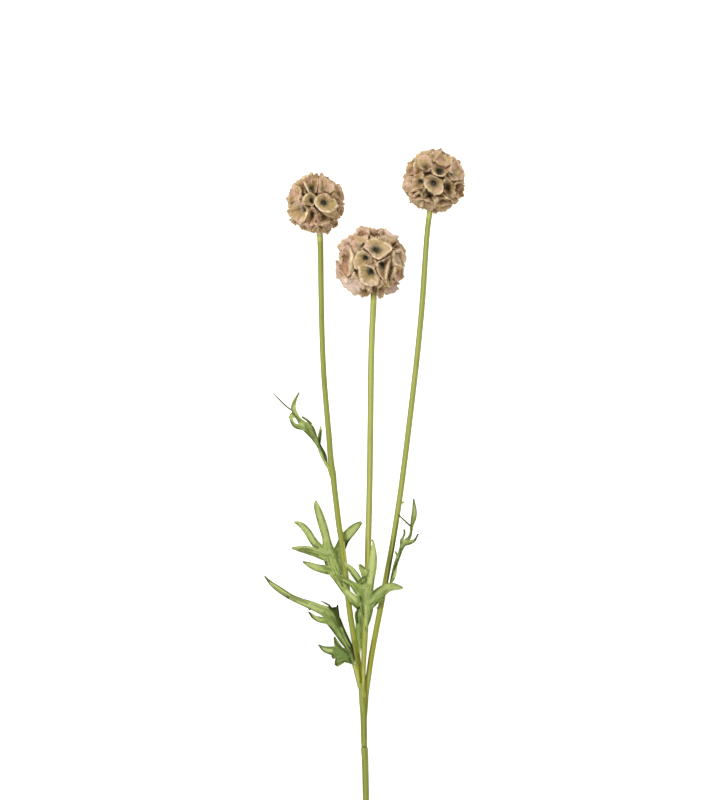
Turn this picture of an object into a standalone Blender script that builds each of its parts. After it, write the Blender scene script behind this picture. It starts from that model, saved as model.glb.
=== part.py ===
"""A dried starflower spray (Scabiosa stellata), lying on its back: three round seed heads of papery cups
on one branched stem, with six cut-edged leaves. +Y runs up the stem to the heads, +Z is up, the floor is z = 0.

Lengths in the lists and constants are millimetres; MM turns them into the metres of the scene."""

import math
import random

import bmesh
import bpy
import numpy as np
from mathutils import Vector
from mathutils.geometry import delaunay_2d_cdt

MM = 0.001

# Seed heads: radius of the ball of cups, and the place of its centre.
HEAD_RADIUS = {"head_left": 21.0, "head_middle": 25.0, "head_right": 22.3}
HEAD_CENTRE = {
    "head_left": (-35.3, 218.1, 20.0),
    "head_middle": (3.9, 176.4, 24.0),
    "head_right": (49.3, 234.6, 20.7),
}
CORE = 0.66             # radius of the solid middle, as a share of the head's radius
CUP_SIDES = 9
CUP_SPACING = 25.0      # degrees between the middles of two neighbouring cups, at least
CUP_REACH = 23.0        # degrees from a cup's middle to its rim, where no neighbour is in the way
RIM_GAP = 0.98          # share of the way to its neighbours that a rim reaches
CORNER = 10             # how squarely a rim fills the corners between its neighbours
CUP_WALL = 0.9
THROAT_SHARE = 0.26     # of the rim's radius
THROAT_DEPTH = 0.76     # distance of the throat from the head's centre, as a share of its radius
KNOB_HEIGHT = 1.3       # the calyx knob in the throat
INNER_WALL = 0.5        # place of the inner wall's middle ring between the throat and the rim
ROOT_SHARE = 0.34       # of the rim's angle, where the cup is sunk into the core
ROOT_DEPTH = 0.56       # distance of that root from the head's centre, as a share of its radius
SOCKET_GAP = 0.4        # free space round the stem's tip in its head

# The cups that the front of each head shows: place right and up of the centre, as shares of the radius, and size.
FRONT_CUPS = {
    "head_left": [
        (0.34, 0.02, 1.15), (-0.24, 0.17, 0.80), (-0.19, 0.69, 1.00), (0.30, 0.62, 0.90), (-0.61, -0.28, 1.10),
        (-0.12, -0.44, 0.80), (0.22, -0.60, 0.90), (0.81, 0.41, 0.90), (0.86, -0.18, 0.90), (0.66, -0.55, 0.80),
        (-0.73, 0.41, 1.00), (-0.51, -0.76, 0.90),
    ],
    "head_middle": [
        (-0.23, 0.14, 0.95), (0.20, 0.41, 1.15), (-0.07, -0.37, 1.15), (0.32, -0.05, 0.70), (0.57, -0.30, 0.75),
        (-0.36, 0.56, 0.90), (-0.29, 0.89, 0.80), (0.44, 0.79, 1.05), (0.76, 0.21, 0.95), (0.86, -0.28, 0.80),
        (-0.60, 0.12, 1.05), (-0.83, 0.47, 0.80), (-0.86, -0.21, 1.00), (-0.53, -0.64, 1.00), (-0.19, -0.86, 0.80),
        (0.14, -0.74, 0.65), (0.61, -0.67, 0.85),
    ],
    "head_right": [
        (-0.02, -0.14, 1.15), (0.17, 0.32, 0.90), (-0.31, 0.52, 0.95), (0.41, -0.16, 0.85), (0.81, -0.20, 0.90),
        (-0.13, -0.55, 0.80), (-0.44, 0.02, 0.95), (-0.52, -0.45, 0.90), (0.34, -0.70, 1.10), (0.06, 0.80, 0.80),
        (0.52, 0.67, 0.90), (0.73, 0.30, 0.95), (-0.74, 0.45, 0.90), (-0.87, -0.10, 0.90),
    ],
}

# Stem: each grown stretch from its lower end up, as x, y, z and radius. All start inside the one below the fork.
ROUNDING_STEPS = 2      # of a stem's section: four sides, and two more for each step
MAIN_STEM = [
    (1.3, -257.4, 2.1, 2.30), (1.1, -214.6, 3.6, 2.35), (0.4, -181.7, 4.8, 2.40), (-0.3, -172.1, 5.2, 2.50),
    (-0.5, -169.9, 5.3, 1.95), (-0.6, -167.8, 5.3, 2.15), (-0.9, -153.9, 5.8, 2.25), (-1.0, -141.7, 6.1, 2.40),
    (-1.1, -134.6, 6.3, 2.20),
]
LEFT_BRANCH = [
    (-1.4, -144.6, 6.0, 1.70), (-2.3, -131.7, 6.5, 1.90), (-3.4, -120.3, 7.0, 2.00), (-5.6, -105.3, 7.6, 1.95),
    (-8.6, -87.5, 8.3, 1.95), (-11.4, -68.9, 9.0, 1.95), (-16.1, -27.5, 10.6, 1.95), (-18.9, -10.4, 11.3, 1.95),
    (-21.8, 15.4, 12.4, 2.00), (-22.8, 24.6, 12.7, 2.35), (-24.1, 31.8, 13.0, 2.20), (-25.4, 42.5, 13.4, 1.95),
    (-26.9, 63.9, 14.2, 1.95), (-29.6, 92.5, 15.3, 1.90), (-31.2, 121.0, 16.4, 1.90), (-31.8, 156.7, 17.7, 1.90),
    (-32.3, 185.3, 18.8, 1.95), (-33.1, 201.0, 19.3, 1.95), (-34.0, 210.3, 19.6, 1.90),
]
MIDDLE_BRANCH = [
    (-1.0, -144.6, 6.1, 1.70), (-0.9, -131.7, 6.6, 1.90), (-0.7, -116.0, 7.6, 1.95), (-0.1, -96.7, 8.8, 2.00),
    (0.3, -82.5, 9.8, 2.05), (0.9, -64.6, 10.9, 2.05), (1.4, -27.5, 13.1, 2.00), (2.9, 13.9, 15.5, 2.00),
    (3.6, 63.9, 18.4, 2.00), (4.3, 121.0, 21.6, 2.05), (5.4, 148.2, 22.8, 2.05), (5.3, 159.6, 23.3, 2.05),
    (4.7, 168.1, 23.6, 2.00),
]
RIGHT_BRANCH = [
    (-0.4, -144.6, 6.0, 1.70), (0.6, -131.7, 6.5, 1.90), (2.3, -116.7, 7.0, 1.95), (5.1, -103.2, 7.5, 1.95),
    (8.7, -87.5, 8.1, 1.95), (12.5, -68.9, 8.8, 1.95), (18.6, -27.5, 10.3, 1.95), (24.3, 6.8, 11.6, 1.95),
    (28.2, 35.3, 12.7, 1.95), (31.6, 63.9, 13.9, 1.95), (35.0, 92.5, 15.0, 1.95), (38.3, 121.0, 16.2, 1.95),
    (40.8, 149.6, 17.3, 1.95), (43.8, 192.4, 18.8, 1.95), (46.0, 212.4, 19.6, 1.95), (47.6, 223.8, 20.0, 1.90),
]
UPPER_LEAF_STUB = [(-23.6, 23.9, 12.6, 1.60), (-25.3, 29.3, 12.6, 1.45), (-27.3, 32.2, 12.5, 1.25)]
LOWER_LEAF_STUB = [(-3.6, -127.4, 6.9, 1.50), (-5.6, -118.9, 7.4, 1.60), (-7.7, -111.3, 7.6, 1.35)]
BRANCH_OF_HEAD = {"head_left": LEFT_BRANCH, "head_middle": MIDDLE_BRANCH, "head_right": RIGHT_BRANCH}

# Leaves: each lobe is a midrib from its base to its tip, as x, y, z and the blade's width there.
BLADE = 0.7             # thickness of a leaf
FOLD = 0.22             # rise of the blade for each millimetre away from its midrib
LEAVES = {
    "leaf_left_upper": [
        [(-27.7, 32.8, 12.5, 2.4), (-29.7, 38.6, 12.9, 4.4), (-32.6, 45.0, 13.3, 3.3), (-36.0, 50.7, 13.9, 4.3),
         (-40.0, 56.8, 14.6, 7.4), (-44.3, 59.6, 15.0, 6.1), (-48.9, 60.0, 14.6, 3.4), (-52.0, 62.6, 14.0, 2.6),
         (-52.3, 66.0, 13.8, 3.1), (-51.3, 70.7, 14.0, 3.4), (-50.7, 74.3, 14.4, 2.9), (-49.0, 78.5, 14.8, 1.7),
         (-47.2, 82.6, 15.0, 0.8)],
        [(-42.5, 60.3, 14.9, 3.2), (-46.8, 63.5, 15.0, 2.3), (-49.7, 68.2, 14.2, 2.4)],
        [(-33.1, 46.8, 13.4, 2.6), (-32.3, 52.5, 12.9, 2.6), (-31.7, 56.8, 12.7, 1.9), (-31.8, 59.0, 12.7, 0.8)],
        [(-39.6, 60.3, 14.8, 2.3), (-41.4, 63.3, 15.4, 1.3), (-44.7, 65.9, 15.8, 1.2)],
    ],
    "leaf_left_large": [
        [(-3.4, -96.7, 8.9, 1.6), (-4.4, -87.5, 9.3, 3.4), (-4.1, -80.3, 10.2, 3.9), (-4.1, -75.3, 11.2, 5.1),
         (-3.9, -71.0, 11.9, 4.8), (-6.6, -65.8, 12.9, 6.8), (-12.9, -59.3, 12.9, 5.1), (-16.7, -53.9, 11.0, 3.7),
         (-19.3, -48.9, 7.6, 5.4), (-21.7, -42.8, 6.2, 8.2), (-24.6, -35.7, 5.8, 9.3), (-26.6, -28.9, 5.8, 7.5),
         (-27.6, -21.8, 6.0, 5.4), (-29.3, -14.6, 6.4, 5.7), (-31.4, -7.5, 7.0, 5.4), (-33.8, -0.4, 7.8, 4.3),
         (-34.8, 3.2, 8.2, 3.0), (-35.3, 6.1, 8.5, 1.0)],
        [(-27.1, -31.1, 5.8, 5.7), (-32.5, -26.8, 5.6, 4.6), (-36.8, -22.0, 5.6, 4.3), (-40.1, -16.2, 6.0, 3.9),
         (-43.6, -12.2, 6.5, 3.6), (-46.8, -10.1, 7.0, 2.6), (-50.3, -9.1, 7.4, 0.9)],
        [(-25.0, -33.2, 5.8, 5.7), (-29.3, -31.4, 5.6, 6.4), (-35.0, -30.0, 5.2, 5.6), (-42.1, -28.8, 4.8, 4.9),
         (-47.1, -28.3, 4.6, 3.3), (-52.3, -27.9, 4.4, 0.9)],
        [(-22.5, -43.6, 6.2, 5.0), (-26.8, -42.8, 5.8, 5.0), (-33.6, -41.8, 5.2, 4.3), (-39.3, -39.8, 4.6, 3.4),
         (-44.4, -37.6, 4.2, 0.9)],
        [(-22.8, -36.1, 5.8, 5.7), (-18.2, -28.2, 6.0, 6.4), (-15.1, -22.1, 6.4, 6.0), (-11.8, -16.9, 7.0, 5.0),
         (-7.5, -12.5, 7.6, 3.6), (-2.1, -9.6, 8.2, 0.9)],
    ],
    "leaf_middle": [
        [(1.1, -83.9, 12.6, 1.9), (2.0, -77.5, 12.6, 4.6), (1.9, -71.0, 13.4, 7.9), (0.7, -64.6, 14.2, 8.9),
         (1.8, -58.2, 14.8, 7.1), (4.0, -50.3, 15.2, 5.7), (5.9, -41.8, 15.0, 4.6), (6.4, -34.6, 14.4, 4.6),
         (6.7, -28.2, 13.8, 3.1), (6.1, -23.9, 13.4, 1.7), (5.2, -21.5, 13.2, 0.8)],
        [(2.1, -67.8, 13.8, 8.6), (7.9, -62.5, 14.2, 8.2), (12.1, -58.5, 14.6, 6.6), (16.4, -55.2, 14.6, 5.6),
         (20.7, -54.4, 14.2, 4.4), (24.3, -55.0, 13.6, 2.7), (27.0, -56.0, 13.2, 0.9)],
        [(0.0, -60.3, 14.6, 7.9), (-4.6, -57.1, 14.6, 6.8), (-8.3, -53.4, 14.4, 3.7), (-12.0, -49.5, 14.2, 0.9)],
        [(0.7, -57.5, 14.8, 5.0), (-2.9, -52.5, 15.0, 4.6), (-5.7, -48.2, 15.2, 4.9), (-8.6, -44.3, 15.0, 4.6),
         (-11.4, -41.3, 14.6, 3.7), (-15.1, -37.6, 13.8, 0.9)],
        [(0.7, -51.8, 15.0, 3.6), (-0.6, -46.4, 15.0, 3.1), (-1.9, -42.7, 14.6, 2.7), (-3.3, -40.5, 14.2, 1.7),
         (-4.6, -38.9, 14.0, 0.8)],
    ],
    "leaf_lower_left": [
        [(-8.1, -110.5, 8.6, 1.6), (-8.9, -106.0, 8.6, 3.1), (-11.0, -100.0, 8.4, 5.7), (-15.3, -93.2, 8.0, 7.6),
         (-19.3, -86.0, 7.5, 9.3), (-22.7, -79.3, 7.0, 10.4), (-26.8, -74.0, 6.6, 8.6), (-32.1, -71.3, 6.2, 6.7),
         (-39.3, -68.3, 5.6, 5.9), (-46.4, -65.7, 5.0, 4.7), (-53.5, -62.5, 4.4, 4.3), (-60.7, -57.9, 3.6, 4.4),
         (-66.4, -53.8, 3.0, 3.3), (-69.6, -50.6, 2.6, 1.9), (-71.6, -48.3, 2.4, 0.8)],
        [(-20.3, -80.3, 7.0, 4.3), (-20.3, -74.3, 7.4, 3.9), (-19.6, -68.6, 8.0, 0.9)],
        [(-23.6, -77.5, 7.0, 4.3), (-24.0, -72.8, 7.4, 3.9), (-25.8, -68.3, 8.0, 1.0)],
        [(-23.6, -80.7, 6.9, 5.0), (-27.8, -79.6, 6.4, 4.6), (-32.1, -78.9, 5.8, 3.6), (-36.4, -77.3, 5.2, 2.4),
         (-40.1, -73.9, 4.8, 0.8)],
    ],
    "leaf_lowest": [
        [(-8.6, -110.6, 6.8, 1.4), (-11.4, -107.3, 6.8, 3.9), (-15.4, -104.2, 6.4, 7.9), (-19.3, -101.4, 5.6, 6.4),
         (-25.0, -100.0, 4.6, 4.4), (-28.9, -99.2, 3.8, 3.3), (-33.1, -96.9, 3.0, 0.8)],
        [(-15.7, -103.9, 6.2, 5.7), (-19.0, -98.5, 5.6, 4.0), (-21.0, -94.2, 5.2, 2.1), (-22.0, -91.0, 5.0, 0.8)],
        [(-17.8, -103.5, 5.9, 4.3), (-21.0, -104.6, 5.2, 3.3), (-23.6, -106.3, 4.6, 1.1)],
        [(-15.0, -105.0, 6.2, 5.7), (-18.3, -108.2, 5.6, 3.6), (-20.7, -111.7, 5.0, 1.1)],
    ],
    "leaf_right": [
        [(18.0, -53.0, 9.6, 1.4), (19.7, -49.2, 10.4, 3.2), (20.9, -44.6, 11.0, 3.6), (21.4, -40.9, 11.4, 3.1),
         (22.7, -36.6, 11.8, 3.0), (24.4, -32.1, 12.2, 2.7), (25.8, -28.2, 12.6, 3.0), (27.3, -24.6, 13.0, 4.0),
         (30.0, -21.9, 13.4, 3.3), (32.2, -18.8, 13.8, 2.3), (33.0, -14.6, 14.2, 2.1), (33.5, -11.1, 14.4, 2.6),
         (34.8, -5.7, 14.4, 3.9), (35.3, -1.1, 14.2, 3.4), (35.1, 3.2, 14.0, 2.3), (34.8, 7.1, 13.8, 0.9)],
        [(27.5, -24.6, 13.0, 3.3), (32.1, -23.4, 13.2, 3.1), (35.3, -21.9, 13.6, 2.1), (36.8, -19.5, 14.0, 1.3),
         (37.8, -17.6, 14.2, 1.0)],
        [(26.7, -25.3, 12.9, 3.0), (26.3, -22.3, 13.2, 2.7), (27.3, -19.6, 13.6, 1.4), (28.2, -16.8, 14.0, 1.1),
         (27.9, -14.5, 14.3, 1.1)],
        [(23.8, -34.6, 12.0, 2.3), (22.8, -32.3, 12.2, 1.7), (21.6, -30.1, 12.5, 0.9)],
    ],
}

STEM_COLOUR = (0.42, 0.45, 0.13)
LEAF_COLOUR = (0.22, 0.29, 0.09)
HEAD_COLOUR = (0.49, 0.38, 0.22)
FLOOR_CUTTER_HEIGHT = 20.0


def material(name, colour, roughness):
    made = bpy.data.materials.new(name)
    made.use_nodes = True
    shader = made.node_tree.nodes["Principled BSDF"]
    shader.inputs["Base Color"].default_value = (*colour, 1.0)
    shader.inputs["Roughness"].default_value = roughness
    shader.inputs["Metallic"].default_value = 0.0
    made.diffuse_color = (*colour, 1.0)
    return made


def mesh_object(name, mesh, collection):
    made = bpy.data.objects.new(name, mesh)
    collection.objects.link(made)
    return made


def mesh_from(name, points, faces):
    """A mesh whose points are given in millimetres."""
    mesh = bpy.data.meshes.new(name)
    mesh.from_pydata([Vector(p) * MM for p in points], [], faces)
    body = bmesh.new()
    body.from_mesh(mesh)
    bmesh.ops.recalc_face_normals(body, faces=body.faces)
    body.to_mesh(mesh)
    body.free()
    return mesh


def evaluated_mesh(thing):
    graph = bpy.context.evaluated_depsgraph_get()
    return bpy.data.meshes.new_from_object(thing.evaluated_get(graph), depsgraph=graph)


def apply_modifiers(thing):
    mesh = evaluated_mesh(thing)
    thing.modifiers.clear()
    thing.data = mesh


def tube(name, stations, collection, extra_radius=0.0):
    """A round rod through the stations, made with a bevelled curve and turned into a closed mesh."""
    curve = bpy.data.curves.new(name, "CURVE")
    curve.dimensions = "3D"
    curve.bevel_depth = MM
    curve.bevel_resolution = ROUNDING_STEPS
    curve.use_fill_caps = True
    spline = curve.splines.new("POLY")
    spline.points.add(len(stations) - 1)
    for point, (x, y, z, radius) in zip(spline.points, stations):
        point.co = (x * MM, y * MM, z * MM, 1.0)
        point.radius = radius + extra_radius
    rod = mesh_object(name + "_curve", curve, collection)
    mesh = evaluated_mesh(rod)
    bpy.data.objects.remove(rod)
    body = bmesh.new()
    body.from_mesh(mesh)
    bmesh.ops.remove_doubles(body, verts=body.verts, dist=0.01 * MM)
    bmesh.ops.recalc_face_normals(body, faces=body.faces)
    body.to_mesh(mesh)
    body.free()
    return mesh_object(name, mesh, collection)


def floor_cutter(collection):
    """A block below the floor, which leaves a small flat spot on whatever reaches down into it."""
    bpy.ops.mesh.primitive_cube_add(size=1.0, location=(0.0, 0.0, -FLOOR_CUTTER_HEIGHT / 2 * MM))
    block = bpy.context.object
    block.name = "floor_cutter"
    block.scale = (0.4, 0.8, FLOOR_CUTTER_HEIGHT * MM)
    bpy.ops.object.transform_apply(location=False, rotation=False, scale=True)
    for home in list(block.users_collection):
        home.objects.unlink(block)
    collection.objects.link(block)
    return block


def cut(thing, cutter, solver):
    step = thing.modifiers.new("cut_" + cutter.name, "BOOLEAN")
    step.operation = "DIFFERENCE"
    step.object = cutter
    step.solver = solver


def join_all(thing, pieces, solver):
    step = thing.modifiers.new("join_" + pieces.name, "BOOLEAN")
    step.operation = "UNION"
    step.operand_type = "COLLECTION"
    step.collection = pieces
    step.solver = solver


def remove_collection(pieces):
    for piece in list(pieces.objects):
        bpy.data.objects.remove(piece)
    bpy.data.collections.remove(pieces)


def new_collection(name):
    made = bpy.data.collections.new(name)
    bpy.context.scene.collection.children.link(made)
    return made


def finish(thing, look, angle):
    thing.data.materials.clear()
    thing.data.materials.append(look)
    thing.data.shade_smooth()
    thing.data.set_sharp_from_angle(angle=math.radians(angle))


def spiral_points(count):
    """Even points on the unit ball, on a golden spiral."""
    turn = math.pi * (3.0 - math.sqrt(5.0))
    heights = 1.0 - 2.0 * (np.arange(count) + 0.5) / count
    radii = np.sqrt(1.0 - heights ** 2)
    angles = turn * np.arange(count)
    return np.stack([radii * np.cos(angles), radii * np.sin(angles), heights], axis=1)


def front_direction(right, up):
    return np.array([right, up, math.sqrt(max(0.0, 1.0 - right * right - up * up))])


def cup_directions(head, stem_way, draw):
    """Directions and sizes of a head's cups: those of the front, then the freest spot again and again."""
    chosen = [front_direction(right, up) for right, up, size in FRONT_CUPS[head]]
    sizes = [size for right, up, size in FRONT_CUPS[head]]
    spots = spiral_points(1200)
    closest = np.max(spots @ np.array(chosen + [stem_way]).T, axis=1)
    while closest.min() < math.cos(math.radians(CUP_SPACING)):
        pick = spots[int(np.argmin(closest))]
        chosen.append(pick)
        sizes.append(draw.uniform(0.85, 1.1))
        closest = np.maximum(closest, spots @ pick)
    return np.array(chosen), sizes


def tangents(way):
    """Two directions square to a cup's axis and to each other, the second as nearly up the stem as it goes."""
    up = np.array([0.0, 1.0, 0.0]) if abs(way[1]) < 0.9 else np.array([0.0, 0.0, 1.0])
    side = np.cross(up, way)
    side /= np.linalg.norm(side)
    return side, np.cross(way, side)


class Cup:
    """One papery cup. Its rim spreads until it meets its neighbours, and waves as dry paper does."""

    def __init__(self, index, ways, sizes, radius, draw):
        self.way = ways[index]
        self.side, self.up = tangents(self.way)
        self.radius = radius
        self.size = sizes[index]
        self.others = [(ways[k], sizes[k]) for k in range(len(ways)) if k != index]
        self.lift = draw.uniform(-0.025, 0.03)
        self.tilt = (draw.uniform(-0.04, 0.04), draw.uniform(-0.04, 0.04))
        self.waves = [(n, draw.uniform(0.4, 1.0) * share, draw.uniform(0.0, math.tau))
                      for n, share in ((2, 0.05), (3, 0.04), (5, 0.02))]
        shift = draw.uniform(-0.07, 0.07) * self.side + draw.uniform(-0.07, 0.07) * self.up
        self.throat_way = (self.way + shift) / np.linalg.norm(self.way + shift)

    def outward(self, theta):
        return math.cos(theta) * self.side + math.sin(theta) * self.up

    def rim_angle(self, theta):
        """Angle at the head's centre from the cup's axis to its rim, in radians."""
        u = self.outward(theta)
        closeness = math.radians(CUP_REACH * self.size) ** -CORNER
        for way, size in self.others:
            along = float(u @ way)
            if along > 0.0:
                share = 2.0 * self.size / (self.size + size)
                closeness += (math.atan2(1.0 - float(self.way @ way), along) * share) ** -CORNER
        dip = sum(amount * (1.0 + math.sin(n * theta + phase)) / 2.0 for n, amount, phase in self.waves)
        return closeness ** (-1.0 / CORNER) * RIM_GAP * (1.0 - dip)

    def rim_distance(self, theta):
        """Distance from the head's centre to the rim, in millimetres."""
        wave = sum(amount * math.cos(n * theta + 2.0 * phase) for n, amount, phase in self.waves)
        lean = self.tilt[0] * math.cos(theta) + self.tilt[1] * math.sin(theta)
        return self.radius * (0.97 + self.lift + lean + 0.4 * wave)

    def at(self, theta, angle, distance):
        return distance * (math.cos(angle) * self.way + math.sin(angle) * self.outward(theta))

    def rim(self, theta, inset=0.0):
        return self.at(theta, self.rim_angle(theta) - inset / self.radius, self.rim_distance(theta))

    def throat(self, theta):
        angle = THROAT_SHARE * self.rim_angle(theta)
        return THROAT_DEPTH * self.radius * (math.cos(angle) * self.throat_way + math.sin(angle) * self.outward(theta))

    def root(self, theta):
        return self.at(theta, ROOT_SHARE * self.rim_angle(theta), ROOT_DEPTH * self.radius)


def cup_mesh(name, cup, centre):
    """A thick-walled funnel: root, outer wall, rim, inner wall, throat and the calyx knob."""
    thetas = [math.tau * k / CUP_SIDES for k in range(CUP_SIDES)]
    inner = [cup.rim(theta, CUP_WALL) for theta in thetas]
    throat = [cup.throat(theta) for theta in thetas]
    wall = [INNER_WALL * rim + (1.0 - INNER_WALL) * low for rim, low in zip(inner, throat)]
    rings = [[cup.root(theta) for theta in thetas], [cup.rim(theta) for theta in thetas], inner, wall, throat]
    points = [centre + p for ring in rings for p in ring]
    points.append(centre + cup.throat_way * (THROAT_DEPTH * cup.radius + KNOB_HEIGHT))
    faces = [list(range(CUP_SIDES))[::-1]]
    for ring in range(len(rings) - 1):
        low, high = ring * CUP_SIDES, (ring + 1) * CUP_SIDES
        for k in range(CUP_SIDES):
            after = (k + 1) % CUP_SIDES
            faces.append([low + k, low + after, high + after])
            faces.append([low + k, high + after, high + k])
    last = (len(rings) - 1) * CUP_SIDES
    faces += [[last + k, last + (k + 1) % CUP_SIDES, len(points) - 1] for k in range(CUP_SIDES)]
    return mesh_from(name, points, faces)


def build_head(name, model, cutters, look):
    """A ball of cups: each is set on a smaller core, and all are fused in one union."""
    radius = HEAD_RADIUS[name]
    centre = np.array(HEAD_CENTRE[name])
    draw = random.Random(name)
    branch = BRANCH_OF_HEAD[name]
    stem_way = np.array(branch[-3][:3]) - centre
    stem_way /= np.linalg.norm(stem_way)
    ways, sizes = cup_directions(name, stem_way, draw)
    cups = new_collection(name + "_cups")
    for index in range(len(ways)):
        cup = Cup(index, ways, sizes, radius, draw)
        mesh_object(f"{name}_cup_{index}", cup_mesh(f"{name}_cup_{index}", cup, centre), cups)
    bpy.ops.mesh.primitive_ico_sphere_add(subdivisions=2, radius=CORE * radius * MM, location=Vector(centre) * MM)
    head = bpy.context.object
    head.name = name
    for home in list(head.users_collection):
        home.objects.unlink(head)
    model.objects.link(head)
    join_all(head, cups, "MANIFOLD")
    cut(head, floor_cutter(cutters), "MANIFOLD")
    cut(head, tube(name + "_socket", branch[-4:], cutters, SOCKET_GAP), "MANIFOLD")
    apply_modifiers(head)
    remove_collection(cups)
    finish(head, look, 40.0)
    return head


def blade_height(x, y, lobes):
    """Height of a leaf's middle surface: that of the midribs nearby, and more with the distance from them."""
    weight_sum = 0.0
    height_sum = 0.0
    nearest = 1e9
    for lobe in lobes:
        for (x0, y0, z0, w0), (x1, y1, z1, w1) in zip(lobe, lobe[1:]):
            length = (x1 - x0) ** 2 + (y1 - y0) ** 2
            share = min(1.0, max(0.0, ((x - x0) * (x1 - x0) + (y - y0) * (y1 - y0)) / length))
            gap = math.hypot(x - x0 - share * (x1 - x0), y - y0 - share * (y1 - y0))
            weight = 1.0 / (gap * gap + 0.3) ** 2
            weight_sum += weight
            height_sum += weight * (z0 + share * (z1 - z0))
            nearest = min(nearest, gap)
    return height_sum / weight_sum + FOLD * nearest


def lobe_outline(lobe):
    """The two edges of a lobe, as one loop round its midrib."""
    right = []
    left = []
    for k, (x, y, z, width) in enumerate(lobe):
        before = lobe[max(k - 1, 0)]
        after = lobe[min(k + 1, len(lobe) - 1)]
        along = Vector((after[0] - before[0], after[1] - before[1])).normalized()
        right.append((x + along.y * width / 2, y - along.x * width / 2))
        left.append((x - along.y * width / 2, y + along.x * width / 2))
    return right + left[::-1]


def leaf_sheet(lobes):
    """Triangles of the union of a leaf's lobes, with the midribs among their edges."""
    points = []
    ribs = []
    outlines = []
    for lobe in lobes:
        outline = lobe_outline(lobe)
        outlines.append(list(range(len(points), len(points) + len(outline))))
        points += outline
        first = len(points)
        points += [(x, y) for x, y, z, width in lobe]
        ribs += [(first + k, first + k + 1) for k in range(len(lobe) - 1)]
    where = [Vector(p) for p in points]
    verts, edges, faces, vert_ids, edge_ids, face_ids = delaunay_2d_cdt(where, ribs, outlines, 1, 0.02)
    kept = [face for face, owners in zip(faces, face_ids) if owners]
    return verts, kept


def build_leaf(name, model, look):
    lobes = LEAVES[name]
    flat, faces = leaf_sheet(lobes)
    mesh = bpy.data.meshes.new(name)
    mesh.from_pydata([(x * MM, y * MM, blade_height(x, y, lobes) * MM) for x, y in flat], [], faces)
    body = bmesh.new()
    body.from_mesh(mesh)
    bmesh.ops.delete(body, geom=[v for v in body.verts if not v.link_faces], context="VERTS")
    bmesh.ops.remove_doubles(body, verts=body.verts, dist=0.1 * MM)
    bmesh.ops.recalc_face_normals(body, faces=body.faces)
    body.to_mesh(mesh)
    body.free()
    leaf = mesh_object(name, mesh, model)
    shell = leaf.modifiers.new("thickness", "SOLIDIFY")
    shell.thickness = BLADE * MM
    shell.offset = 0.0
    apply_modifiers(leaf)
    finish(leaf, look, 50.0)
    return leaf


def build_stem(model, cutters, look):
    """The main stem with its three branches and two leaf stubs, grown together."""
    grown = new_collection("stem_branches")
    for label, stations in (("left", LEFT_BRANCH), ("middle", MIDDLE_BRANCH), ("right", RIGHT_BRANCH),
                            ("upper_stub", UPPER_LEAF_STUB), ("lower_stub", LOWER_LEAF_STUB)):
        tube("stem_" + label, stations, grown)
    stem = tube("stem", MAIN_STEM, model)
    join_all(stem, grown, "MANIFOLD")
    cut(stem, floor_cutter(cutters), "MANIFOLD")
    apply_modifiers(stem)
    remove_collection(grown)
    finish(stem, look, 50.0)
    return stem


def clear_scene():
    for thing in list(bpy.data.objects):
        bpy.data.objects.remove(thing)


def main():
    clear_scene()
    model = new_collection("scabiosa_spray")
    cutters = new_collection("cutters")
    stem_look = material("stem_green", STEM_COLOUR, 0.55)
    leaf_look = material("leaf_green", LEAF_COLOUR, 0.6)
    head_look = material("papery_cups", HEAD_COLOUR, 0.7)
    build_stem(model, cutters, stem_look)
    for name in HEAD_RADIUS:
        build_head(name, model, cutters, head_look)
    for name in LEAVES:
        build_leaf(name, model, leaf_look)
    for cutter in cutters.objects:
        cutter.hide_render = True
        cutter.display_type = "WIRE"


main()
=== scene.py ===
"""Looks of the starflower spray: fine papery seed heads, stem and leaves in place of the plain solids.

The frame is the CAD's: +Y runs up the stem to the heads, +Z is up, the floor is z = 0. Lengths in the
constants and texts are millimetres, and MM turns them into the metres of the scene. The drawn shapes
and marks are texts of rows: each row is a word and the numbers after it."""

import math
import random
import re

import bmesh
import bpy
import numpy as np
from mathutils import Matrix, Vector
from mathutils.geometry import delaunay_2d_cdt


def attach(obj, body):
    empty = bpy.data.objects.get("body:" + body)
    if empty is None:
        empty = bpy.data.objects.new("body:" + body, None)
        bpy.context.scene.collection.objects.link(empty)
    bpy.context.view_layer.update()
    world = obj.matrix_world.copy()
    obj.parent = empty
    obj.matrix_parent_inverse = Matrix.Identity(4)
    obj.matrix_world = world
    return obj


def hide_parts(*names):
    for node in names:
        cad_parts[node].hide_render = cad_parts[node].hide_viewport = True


MM = 0.001
FAR = 1e9
TINY = 1e-9

# Camera: straight down on the lying spray, as the photo shows it.
MM_PER_PIXEL = 0.714
PIXEL_ORIGIN = (365.0, 509.5)       # where the frame's origin lies in the photo
PHOTO_HEIGHT = 800
CAMERA_X = -1.07
CAMERA_Y = 78.2
CAMERA_Z = 3000.0
VIEW_PLANE = 12.0       # height at which MM_PER_PIXEL holds
SENSOR = 36.0
CLIP_END = 20.0         # metres

# Floor and light, in metres, watts and linear light.
FLOOR_SIZE = 6.0
FLOOR_GAP = 0.05        # millimetres between the floor and z = 0
FLOOR_COLOUR = (0.85, 0.85, 0.85)
FLOOR_GLOW = 0.75
WORLD_STRENGTH = 0.45
LIGHT_AIM = (0.0, 0.05, 0.0)
# Each light's name, place, size and power.
LIGHTS = (("key", (-1.1, 1.0, 1.7), 0.7, 34.0), ("fill", (1.3, -0.4, 1.5), 1.2, 10.0))

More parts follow.
